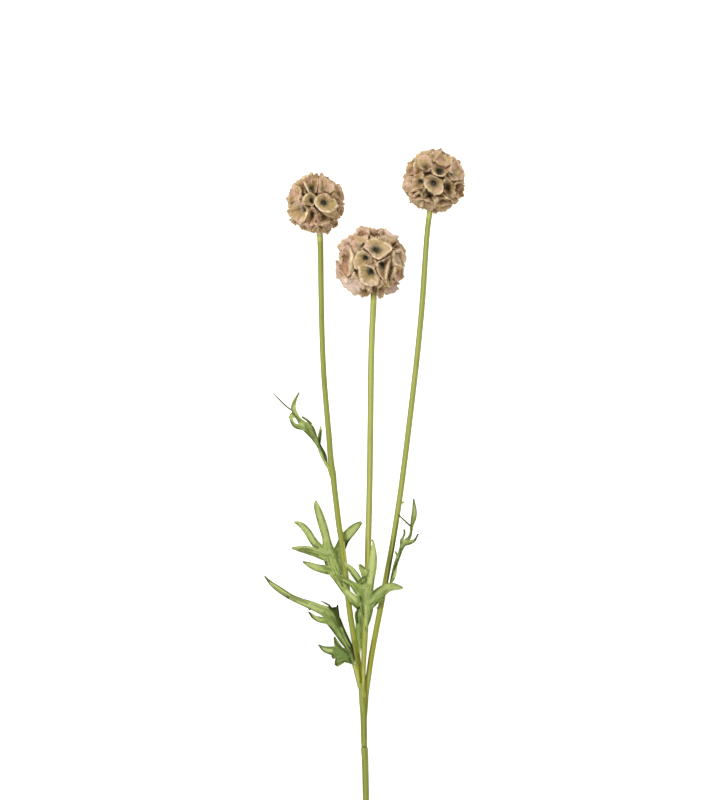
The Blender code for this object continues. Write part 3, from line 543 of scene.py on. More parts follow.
    "head_right": """
khaki 1.6 .8 408.6 166 409.6 162.6
dark 1 .7 413.4 161.4 411.6 164.6 411 169
dark 1.6 .7 409.6 171.6 410.4 175
pink 1.2 .6 407 172 408 175
light .9 1 414.6 162.6 413.2 168
pink 1.4 .8 414.2 170 414.4 174.6
rust 1.4 .9 417.4 169.4 418 173.6 417.6 176.6
dark .8 .6 416.6 163.6 418.4 168 421 171
pink 2.4 .7 423 157 426 157.4
khaki 2.2 .7 418.6 162.6 420.6 165
khaki 2 .5 424 162 428 161.6
grey 2 .5 424.4 166.6 427 165
dark 1.6 .9 424.6 168.6 427.6 167.6 430 166.6
black .9 1 425.6 169.4 427.4 169.2
light .8 .8 424.6 171.6 427.6 171.8 429.6 170.6
black 1.1 1 424 172.6 426 174.4 428 174
black .9 1 429.6 173 431.6 173.4
dark 1 .8 428 174 430 173.4
khaki 1.8 .8 431.6 155 433.6 158.6
pink 2 .5 435.4 153.6 437 155.6
dark .8 .5 431 151.4 435 150.2 440 149.6
dark 1 .8 436 159.6 438.6 157.4 441 154.4 443 153.6
dark 1.1 .9 432 160.6 433.4 162.6 437 165 441 166.6 444.6 168.4
black .6 .4 437 165 441 166.6
pink 1.8 1 438.6 159 442 160.4
pink 1.4 .7 446.6 164 448.6 165
rust 1 .8 440.6 157 443.6 156.6
khaki 2 .9 447.6 158.6 448.6 162 441 163.8
dark 1.1 .7 442.4 153.8 444.6 154.2
dark .9 .7 447.4 155.8 448.4 154.6
light .8 .8 450.6 164 452 161.6
grey 4 .7 439 170 441 172
black 2.6 .8 438.6 171 441 171.4
black 1.2 1 438 173.4 440 173.4
khaki 1.4 .9 432.6 168.6 433.6 171.4
light .9 .9 432 171 434.6 174 438 176 442.6 176.2 445 174.6
pink 1.4 .8 431.6 164.6 432.4 167
rust 1.2 .8 447.4 170 446.4 174.6
dark 1.2 1 438.6 177.2 441.4 177.8
black 1 1 441 178 442.6 178.2
dark .9 .8 443 177 445 175.6 447 174
grey 2 .9 420.6 180 422.6 181.4
light 1.2 .7 419.4 178.6 421.6 177
black 1.1 .8 421.6 181.6 422.6 182.6
khaki 2 .6 418 185.6 420.6 187.4
pink 3 .7 408 183 410 186.6
light 1.4 .5 406.6 182.6 407.6 186
rust 1 .4 413.6 181 413.4 186
dark .8 .5 411.6 176.6 413.6 178.4
khaki 2.2 .6 426.6 177.4 428.6 178.4
rust 1.8 .5 426.6 177.4 428.6 178.4
grey 4.2 .9 433.4 181.4 434.8 184
dark 2.2 .6 431.6 180.2 435.6 179.8 438 181.6
black 2 1 433.4 182.4 434.4 183.4
khaki 1.8 .9 440 179.6 441.4 183
khaki 1.2 .7 433 188.8 434.6 189
light .9 .8 442.6 184 443 187.4 441.8 191.6 438.6 194.4 434.6 194.6
light .9 .9 424.6 182.6 425.4 186 428.4 189.6 431 192.4
pink 2.2 .7 437.6 190.6 439.4 188
khaki .9 .8 427 184.6 430 188.8
pink 1.4 .9 425.6 180.6 426 184
black 1.3 1 426.6 189.8 425.2 192.4
black 1.8 1 427.6 192.4 430.6 193.6 431.6 195.4
dark 1.2 .9 431.6 194.6 433.4 195.8
dark 2.2 .8 428.4 196 430 199
grey 2 .6 429.4 197.6 430.6 200
khaki 1 .7 425.6 198 425.4 203
dark .9 .9 423.6 193.6 423.6 199 424 203.6
pink 1.6 .8 428 203 430 204.6
light .8 .6 429.4 206.6 432 204.6
light 1 .4 434 198 436 201.6
dark .8 .5 432.6 201 432 206
dark 2 1 445 184 446.6 188.6 447.6 192.4
black 1.3 .6 445.8 185.4 446.6 188
black .9 1 444 184.4 444.6 189
grey 1.4 .9 447.6 190.6 448 192
dark 1.6 .7 449.6 184 450.6 188.6 449.6 193
dark 1.4 .8 448 195.6 450 197.6
khaki 1 .8 452.6 182.6 453.6 187.6
light .9 .9 444.6 195.6 446.6 197.6 450.6 199
dark 2.6 .8 458.6 185.6 459.4 190
khaki 1 .9 455 186 454.6 190
light .8 .9 453.6 190.6 455.6 194
dark .8 .6 462.6 186 463 191
rust 1.8 1 460.4 193 463 193.6
pink 1.8 .8 456 196.6 459 197
black .9 .9 452 181 453.6 182.2
pink 2.4 .9 453.6 166.6 456 167.6
light .8 .9 450.6 167.6 452.2 165.6
khaki 2.4 .9 458 172 459.4 176
grey 1.6 .7 449.6 172.6 451.6 175.6
black 1.1 .9 450.2 174.2 451.6 174.8
light .7 .8 451.6 171.6 453.6 175
dark 1 .7 452.6 176.6 455 178
rust 1 .6 456.6 168.6 456.6 170
dark .8 .5 461.6 169 462 172
pink 1.2 .7 463 173 463 178
pink 2 .6 413.6 195 415 199
dark 1 1 418.6 194.6 420 195.4
black .6 .7 419 194.8 420 195.2
pink 1 .8 417 197.4 419 198
khaki 2.4 .8 418.6 201 421.6 202
light 1 .5 421 199.6 422.4 203
dark .8 .5 408.6 203.4 411.6 201.6
dark 1 .9 407 192 407.6 194.4
khaki 1 .6 413 190.6 416 191.6
light .7 .7 416.6 191.4 420.6 194
khaki 3.4 .8 441 206.6 447 207.6
dark 1.4 .8 440.6 200.8 444.6 200.4 449.6 200.8
light 1.6 .4 446 209.6 449 208
light .8 .7 436.6 203 438 198.6
dark 1.6 1 438 196 440.4 196.8
dark 1.4 .9 442.4 195.6 443.4 197.6
black .7 .5 437.6 196 439 196.6
dark 1.3 .9 433.6 209.6 435.6 209.6 437.6 208
pink 1 .6 436 212 434 212
light 1 .5 452 202 455 201.4
dark 1 .8 451.4 197.6 452.6 199.6
khaki 1.6 .6 455.6 198.6 457 199.6
light 1.8 .3 433 153.6 434.6 156.6
light 1.8 .3 444.6 155.6 446 160.6
dark 1.2 .6 411.6 159.8 414.4 161.8
dark 1.8 .5 407 171.6 410.6 175
light 2 .3 408.6 180 409 184.4
dark 2 .65 421 184 416.4 185.4
dark 1.8 .4 414 186.4 408 190.4
light 1.3 .55 419.4 189.4 424.6 188.8
light 1 .4 413 191 418 189.6
dark 1.4 .6 419.6 192.8 423 193
light 1.5 .4 414.6 195.2 417.4 195.4
pale 1.6 .7 408.6 194.6 411.6 198.6
light 2.1 .6 419 200.6 421.6 202
pale 1.4 .7 415 204 423.6 207.4
dark 2.1 .9 426 199.4 431 201.2
khaki 1.8 .8 428.4 187.6 429.6 190.6
khaki 2.4 .8 437.6 188.6 440.4 190.4
dark .9 .45 441.6 181.6 442.4 185.6
dark 1.3 .55 452.8 186 453.4 191.4
light 1.6 .5 454 197 455.4 201.4
dark 1.2 .4 459.6 198.4 464.2 194.8
dark 2.2 .4 458.6 186.6 459.4 190
light 1.3 .5 436 209.8 442 210 448 207.8
light 1.8 .4 453.6 174 457.6 172.6
pale 1.5 .5 461.6 171 462.4 178
pink 1.3 .8 446.6 166.6 449 165
dark 1 .6 427.6 168.6 430 167.6
light 1 .4 448 171.6 448 174.6
dark 1.4 .5 446.6 194.6 448.4 197.4
""",
}

# A fine cup: its inner wall as (share of the rim's radius, share of the way up from the throat to the rim).
INNER_PROFILE = [
    (0.045, -0.16), (0.09, -0.14), (0.13, -0.09), (0.17, -0.02), (0.22, 0.07), (0.28, 0.17), (0.36, 0.31),
    (0.45, 0.44), (0.55, 0.57), (0.65, 0.69), (0.75, 0.79), (0.84, 0.87), (0.92, 0.94), (0.97, 0.985),
    (1.0, 1.0),
]
# Its outer wall from the rim down: share of the way out to where it meets its neighbours, share of the way
# in to WALL_DEPTH, millimetres below that, and the place on the cup that its look goes by.
OUTER_PROFILE = [
    (0.0, 0.0, 0.24, 1.04), (0.12, 0.10, 0.42, 1.12), (0.35, 0.26, 0.60, 1.24), (0.60, 0.48, 0.70, 1.40),
    (0.82, 0.74, 0.80, 1.58), (1.0, 1.0, 0.80, 1.76),
]
WALL_DEPTH = 0.87       # share of the head's radius
ROOT_PROFILE = [(0.85, 0.72), (0.5, 0.56)]      # (share of the wall's radius, share of the head's radius)
WALL_LEAST = 1.02       # least and furthest that a wall spreads, in rim radii
WALL_SPREAD = 1.7
NEIGHBOUR = 0.3         # cosine of the widest angle between two cups that can meet
RIM_STEPS = 6           # steps from one drawn point of a rim to the next
OUTLINE_MARGIN = 0.08   # how far in front of the outline a drawn point stays, as a share of its distance
EYE_SINK = 0.995        # distance of the eye's middle as a share of its ring's, which sinks it a little
CUP_SEGMENTS = 76
BACK_SEGMENTS = 52
CRUMPLE = ((3.4, 0.34), (1.8, 0.24), (1.1, 0.10))      # (spacing, height) of the crumples, in millimetres
CRUMPLE_WAVES = 5       # waves for each of those
CRUMPLE_SUM = 2.2       # how high they stand together, in heights of one
CORE_RADIUS = 0.66      # share of the head's radius
BUMPINESS = 14.0        # how many bumps the core has, and how high they are, as a share of its radius
BUMP_SHARE = 0.008
TONES = (0.8, 0.3, 0.4)     # the most pink, dark and pale that a cup is
FRONT_DEPTH = 0.3       # how far behind a head's centre its strokes of tint reach, as a share of its radius
RISE = 0.035            # how far a cup stands proud of its neighbours, or is sunk, as a share of the radius
SPREAD = 2.2            # how much further a cup that stands proud spreads
RUFFLES = ((4, 0.015), (7, 0.011), (11, 0.006), (17, 0.002))
RUFFLE_SHARES = (0.3, 1.0)
CORNERS = 0.14          # how far a cup's pointed corners reach past its rim
CORNER_COUNTS = (3, 4, 5)
CORNER_POWER = 4        # how narrow they are
PEAKS = 0.3             # how far they rise, as a share of CORNERS
PEAK_POWER = 6
BRISTLES = 5
BRISTLE_SIDES = 5
BRISTLE_RADII = (0.30, 0.26, 0.20, 0.13, 0.03)
BRISTLE_START = 0.08    # share of the rim's radius
BRISTLE_HEIGHT = 0.05   # above the wall, as a share of the way up to the rim
STAR_REACH = (0.30, 0.40)
KNOB_SIDES = 12
KNOB_PROFILE = ((0.15, -0.02), (0.13, 0.03), (0.09, 0.06), (0.04, 0.075))

STEM_SIDES = 32
SWELL = 0.14            # how much thicker the fine stalk is than the solid one
STEM_STEPS = 8
STEM_SHARP = 50.0       # degrees between faces that make a sharp edge
# Stem: each grown stretch from its lower end up, as x, y, z and radius.
STEMS = """
main 1.1 -257.4 2.1 2.2 .8 -214.6 3.6 2.2 .1 -181.7 4.8 2.25 -.4 -172.1 5.2 2.4 -.5 -169.9 5.3 1.85
-.6 -167.8 5.3 2.05 -.9 -153.9 5.8 2.15 -1 -141.7 6.1 2.45 -1.1 -134.6 6.3 2.4
left -1.3 -148.5 5.8 1.6 -1.6 -144.5 6 1.9 -2 -138 6.2 2.05 -2.4 -131.7 6.5 1.95 -3.4 -120.3 7 2
-5.6 -105.3 7.6 1.95 -8.6 -87.5 8.3 1.95 -11.4 -68.9 9 1.95 -16.1 -27.5 10.6 1.95 -18.7 -10.4 11.3 1.95
-21.8 15.4 12.4 1.95 -22.8 24.6 12.7 2.15 -24 31.8 13 2.1 -25 42.5 13.4 1.95 -25.5 50.3 13.7 1.95
-26.7 63.9 14.2 1.9 -29.1 92.5 15.3 1.85 -30.5 121 16.4 1.85 -31.3 156.7 17.7 1.9 -31.7 185.3 18.8 1.95
-32.5 201 19.3 1.95 -33.5 210.3 19.6 1.9
middle -1 -144.6 6.1 1.7 -.9 -131.7 6.6 1.9 -1.2 -116 7.6 1.55 -.4 -96.7 8.8 1.9 .3 -82.5 9.8 2.05
1.2 -64.6 10.9 2.1 2.2 -27.5 13.1 2.1 3.2 13.9 15.5 2.05 3.9 63.9 18.4 2.05 4.15 92.5 20 2.1
4.8 121 21.6 2.1 6.05 148.2 22.8 2.05 5.9 159.6 23.3 2.05 5.2 168.1 23.6 2
right -.3 -148.5 5.8 1.6 -.1 -144.5 6 1.8 .3 -138 6.2 1.9 .8 -131.7 6.5 1.9 2.9 -116.7 7 1.85
4.9 -103.2 7.5 1.9 7.8 -87.5 8.1 1.9 11.4 -68.9 8.8 1.9 19.1 -27.5 10.3 1.9 24.6 6.8 11.6 1.95
28.4 35.3 12.7 1.95 31.9 63.9 13.9 1.95 35.3 92.5 15 1.95 38.4 121 16.2 1.95 41 149.6 17.3 1.9
43.9 192.4 18.8 1.85 46.1 212.4 19.6 1.9 47.7 223.8 20 1.9
stub -23.6 23.9 12.6 1.6 -25.3 29.3 12.6 1.45 -27.3 32.2 12.5 1.25
stub -3.6 -127.4 6.9 1.5 -5.6 -118.9 7.4 1.6 -7.7 -111.3 7.6 1.35
nub 25.6 4.6 11.5 .85 27.3 5.2 11.7 .6 28.4 5.5 11.8 .3
nub 10.4 -71.2 8.8 .8 9.1 -70.6 9 .6 8.4 -70.2 9.1 .3
"""
# How light each of those stretches is, from 0 to 1.
FRESHNESS = (0.0, 0.15, 0.95, 0.5, 0.7, 0.6, 0.8, 0.6)
# Strokes of tint on the stems, as on the heads. Their dark and black strokes are painted shade in the crease
# where the branches fork, at the notch below it and down the stalks' shaded sides.
STEM_MARKS = """
yellow .9 .8 338 505 340.4 520 341.8 532 342.8 545 343.6 556 344.6 566
yellow 1.4 .8 341.4 579 343 585 344.6 591
yellow .9 .8 350.2 598 352.4 612 354.8 628 357.2 642 358.8 654
yellow 1.5 .8 357 656 360.4 668 361.2 678
yellow 1.4 .8 375 640 373.4 650 372 660 370.6 670
yellow 2.4 .55 382 606 378.6 622 375 636 371.8 652
yellow 2.4 .4 364.6 606 364.4 622 364 640 363.4 656 363.2 668
yellow 2.6 .45 348 592 350.4 606 353 622 355.6 638 357.6 652
dark 1.2 1 358 654 359 663 360 672 361 683
dark 1.2 .9 371.6 640 370.4 648 368.9 658 367.8 668 366.4 680 365.8 692
dark 1 .5 355.5 620 357.2 635 359.2 650
dark 1.2 .7 354.4 641 356.4 652 357.8 663
dark .9 .6 351.5 603 353.4 615 355.6 628
black .8 .8 351.9 603 353.8 615 355.9 627
dark .8 .5 364.2 684 363.6 692 364 704
dark 1 .8 366.4 690 366.6 702 366.4 716 366.5 738
dark .8 .5 361.6 712 361.9 726 362.1 742
dark .8 .5 362.6 760 363 775 363.2 792
black .8 .7 361.4 746.8 364.5 747.2 367.4 746.8
dark 1.7 1 398.8 521 397 533 395 544 392.8 557 390.6 569 389 580
black 1.3 1 396.4 538 394.2 549 392.2 561 390 572 388.8 581
dark 1 .8 391.4 542 388.8 556 386.6 568 385.2 580
black 1.1 .7 390.4 556 389.2 568 388 580
dark .8 .7 391.8 560 390.6 570 389.8 580
light 2 .8 373.6 293 373.6 303
light 2 .8 319.6 230 319.8 240
light 2 .8 429.6 208 428.8 216
dark 1 .6 343.4 526 344 534 344.2 540
light 1.4 .6 343.8 541 345 556 347 572
dark 1.2 .6 339.8 558 341.6 566 343 575
dark 1 .7 384.8 598 383.4 603 381.9 608
dark 1.2 .6 365.9 536 366.1 550 366.2 562
light 1.3 .7 355 667 357 672 358.6 680
light 1 .6 363.6 668 363 676 362.9 684
"""

FOLD = 0.17             # rise of the blade for each millimetre away from its midrib
FOLD_SQUARE = 0.16      # rounds the fold at the midrib
BLADE = 0.32            # thickness
CURL = 0.30             # how far a blade's edge turns down
CURL_WIDTH = 1.0
RIB_BLUR = 0.3          # softens the step in height from one lobe to the next
LEAF_STEP = 0.62        # spacing of a blade's points
GRID_ROWS = 0.866       # rows of them, in spacings
GRID_MARGIN = 6.0
POINT_GAP = 0.38        # least gap from them to an edge or midrib
MERGED = 0.01           # gap within which corners are taken as one, before and after the triangles are made
CLEAN_GAP = 0.02
LEAF_SHARP = 60.0       # degrees between faces that make a sharp edge
LOBE_STEPS = 7
TIP_WIDTH = 1.3
TIP_LENGTH = 0.5
HAIR_STEPS = 4
HAIR_SIDES = 8
HAIR_ALONG = 0.6        # how far along its leaf a hair starts, for its look
HAIR_VALUES = {"rib": 1.0, "edge": 0.3, "dark": 0.85}
LEAF_SHADE = {"leaf_left_upper": 0.0, "leaf_left_large": 0.0, "leaf_middle": 0.0, "leaf_lower_left": 0.2,
              "leaf_lowest": 0.4, "leaf_right": 0.2}      # how dark each leaf is, from 0 to 1
# Leaves: first the point inside the stem that a leaf grows out of (foot), then the midrib of each lobe from
# its base to its tip, as x, y, z and the blade's width there, and hair-thin tips and stalks, as x, y, z and
# radius.
LEAVES = {
    "leaf_left_upper": """
foot -26.3 31 12.5 2
lobe -27.7 32.8 12.5 2.4 -29.7 38.6 12.9 4.4 -32.6 45 13.3 3.3 -36 50.9 13.9 4.3 -39.8 57.2 14.6 7.4
-44 60.6 15 5.6 -47.1 64.3 15.2 3.3 -49.4 67.9 15.2 3.2 -51.1 72.4 15 3.5 -50.4 76.6 15 2.8
-48.8 80.2 15 1.8 -47.1 83.2 15 .9
lobe -42.5 59 14.9 4.8 -48.4 59.3 14.6 3.6 -51.2 61.3 14.2 2.8 -52.5 64.2 14 2.7 -52 66.6 14.2 4
-50.3 68 14.9 4.4
lobe -52.3 64.8 14 2.2 -54 66.2 14 1.2
lobe -33.1 46.8 13.4 2.6 -32.3 52.5 12.9 2.6 -31.7 56.8 12.7 1.9 -31.8 59 12.7 .8
lobe -38.6 60.6 14.8 2.6 -40.6 63.3 15.3 1.7 -45 66.3 15.8 1.3
hair -52.4 71 14.6 .58 -56 73.6 14.5 .56 -59.6 77 14.5 .54 -62.8 80.3 14.5 .46 -66 83.2 14.5 .3
""",
    "leaf_left_large": """
foot -3.6 -108.5 8.1 1.5
lobe -4.3 -103 8.5 2 -3.5 -96.7 8.9 3.2 -3.9 -87.5 9.3 5.4 -4.1 -80.3 10.2 5.4 -4.4 -75.3 11.2 6.2
-3.4 -71 11.9 5 -6.6 -65.8 12.9 6.8 -12.9 -59.3 12.9 5.1 -16.2 -53.9 12 6.3 -18.4 -48.9 8.6 8.8
-21.1 -42.8 6.2 11.4 -23.4 -35.7 5.8 11.8 -26.2 -28.9 5.8 8.4 -27.6 -21.8 6 5.9 -29.3 -14.6 6.4 6.2
-31.4 -7.5 7 6 -33.7 -.4 7.8 5 -34.8 3.2 8.2 3.8 -35.3 6.1 8.5 1.4
lobe -27.1 -31.4 5.8 6.4 -32.8 -27.2 5.6 5.6 -37.2 -22.4 5.6 5.4 -40.6 -16.7 6 5.1 -44 -12.6 6.5 4.6
-47.1 -10.3 7 3.5 -50.5 -9.1 7.4 1.3
lobe -25 -33.6 5.8 8.2 -29.3 -32.1 5.6 8.6 -35 -30.6 5.2 7.2 -42.1 -29 4.8 5.7 -47.1 -28.3 4.6 4
-52.3 -27.8 4.4 1.3
lobe -22.5 -43.8 6.2 6 -26.8 -43.3 5.8 6.4 -33.6 -42 5.2 5.3 -39.3 -39.9 4.6 4.1 -44.4 -37.6 4.2 1.3
lobe -22.8 -36.1 5.8 8.2 -18 -28.4 6 7.6 -15.3 -22.2 6.4 7.4 -12.2 -18 7 7.1 -9.1 -14.8 7.4 6.5
-5.7 -11.7 7.8 5 -2.4 -9.1 8.2 2
""",
    "leaf_middle": """
foot .5 -89 10.6 1.6
lobe 1.1 -83.9 12.6 1.9 2 -77.5 12.6 4.8 1.6 -71 13.4 8.6 .4 -64.6 14.2 10.4 .9 -58.2 14.8 9.9
2.2 -50.3 15.2 9 4.3 -44.6 15.2 7 5.2 -41 15 6.2 5.8 -34.6 14.4 5.5 5.9 -28.2 13.8 3.7 6 -24.2 13.4 1.8
5.3 -21.8 13.2 .9
lobe 2.1 -67.8 13.8 8.6 7.9 -62.1 14.2 9 12.1 -58.3 14.6 7.8 16.4 -55.6 14.6 6.6 20.7 -55 14.2 5.2
24.3 -55.5 13.6 3.4 27 -56.2 13.2 1.5
lobe -.4 -60.9 14.6 9.6 -5 -56.8 14.6 7 -9.3 -53 14.4 4.2 -13.6 -50.6 14.2 3.6 -18 -48.6 14 2.8
-21.2 -46.8 13.8 .9
lobe .7 -57.5 14.8 5 -2.9 -52.5 15 4.6 -5.7 -48.2 15.2 4.9 -8.6 -44.3 15 4.6 -11.4 -41.3 14.6 3.7
-15.1 -37.6 13.8 .9
lobe .7 -51.8 15 4.6 -.5 -46.4 15 4.4 -1.8 -42.9 14.6 4.2 -3.1 -40.7 14.2 3.4 -4.3 -39.2 14 1.7
""",
    "leaf_lower_left": """
foot -7 -113.6 7.7 1.8
lobe -8.1 -110.5 8.6 1.6 -8.9 -106 8.6 3.1 -10.4 -100.2 8.4 5 -14.7 -93.2 8 6.9 -18.9 -86 7.5 8.6
-22.7 -79.3 7 10.4 -26.8 -74 6.6 8.6 -32.1 -71.3 6.2 6.7 -39.3 -68.3 5.6 5.9 -46.4 -65.7 5 4.7
-53.5 -62.5 4.4 4.3 -60.7 -57.9 3.6 4.4 -66.4 -53.8 3 3.3 -69.6 -50.6 2.6 1.9 -71.6 -48.3 2.4 .8
lobe -20.3 -80.3 7 4.3 -20.3 -74.3 7.4 3.9 -19.6 -68.6 8 .9
lobe -23.6 -77.5 7 4.3 -24 -72.8 7.4 3.9 -25.8 -68.3 8 1
lobe -22.1 -75.6 7.2 4.6 -22 -73 7.5 4.6 -22 -71.2 7.7 3.6 -22.2 -69.8 7.9 2.4
lobe -23.6 -80.7 6.9 5 -27.8 -79.6 6.4 4.6 -32.1 -78.9 5.8 4.2 -36.4 -77.2 5.2 3.2 -40.1 -73.9 4.8 1.2
lobe -34.5 -69.4 6 4.6 -38.4 -70.3 5.5 3.4 -40.4 -71.6 5.2 1.6
hair -25.2 -68.8 8 .75 -28.4 -67 8.4 .65 -31.8 -65.3 8.8 .25
""",
    "leaf_lowest": """
foot -6.4 -113.2 7.2 1.4
lobe -8.6 -110.6 6.8 1.4 -11.4 -107.6 6.8 5.4 -15.4 -104.5 6.4 9.6 -19.3 -102 5.6 8.2 -25 -101 4.6 5.8
-28.9 -100.1 3.8 4.3 -33.1 -97.4 3 1.1
lobe -15.7 -103.9 6.2 5.7 -19.2 -98.5 5.6 4.6 -21 -94.2 5.2 2.8 -21.9 -91.2 5 1.3
lobe -17.8 -103.5 5.9 5.3 -21 -104.7 5.2 4.4 -23.6 -106.2 4.6 2.2
lobe -15 -105 6.2 6.7 -18.5 -108.7 5.6 6.2 -20.8 -112.1 5 2.8
""",
    "leaf_right": """
foot 15.4 -57.5 9.3 1.3
lobe 18 -53 9.6 1.4 19.7 -49.2 10.4 3.2 20.9 -44.6 11 3.6 21.4 -40.9 11.4 3.1 22.7 -36.6 11.8 3
24.4 -32.1 12.2 2.7 25.8 -28.2 12.6 3 27.3 -24.6 13 4 30 -21.9 13.4 3.3 32.2 -18.8 13.8 2.3
33 -14.6 14.2 2.1 33.5 -11.1 14.4 2.6 34.8 -5.7 14.4 3.9 35.3 -1.1 14.2 3.4 35.1 3.2 14 2.3 34.8 7.1 13.8 .9
lobe 27.5 -24.6 13 3.3 32.1 -23.4 13.2 3.1 35.3 -21.9 13.6 2.1 36.8 -19.5 14 1.3 37.8 -17.6 14.2 1
lobe 26.7 -25.3 12.9 3 26.3 -22.3 13.2 2.7 27.3 -19.6 13.6 1.4 28.2 -16.8 14 1.1 27.9 -14.5 14.3 1.1
lobe 23.8 -34.6 12 2.3 22.8 -32.3 12.2 1.7 21.6 -30.1 12.5 .9
hair 32.9 -12.1 14.3 .62 28.5 -8.1 14.4 .58 24 -3.9 14.4 .5
""",
}
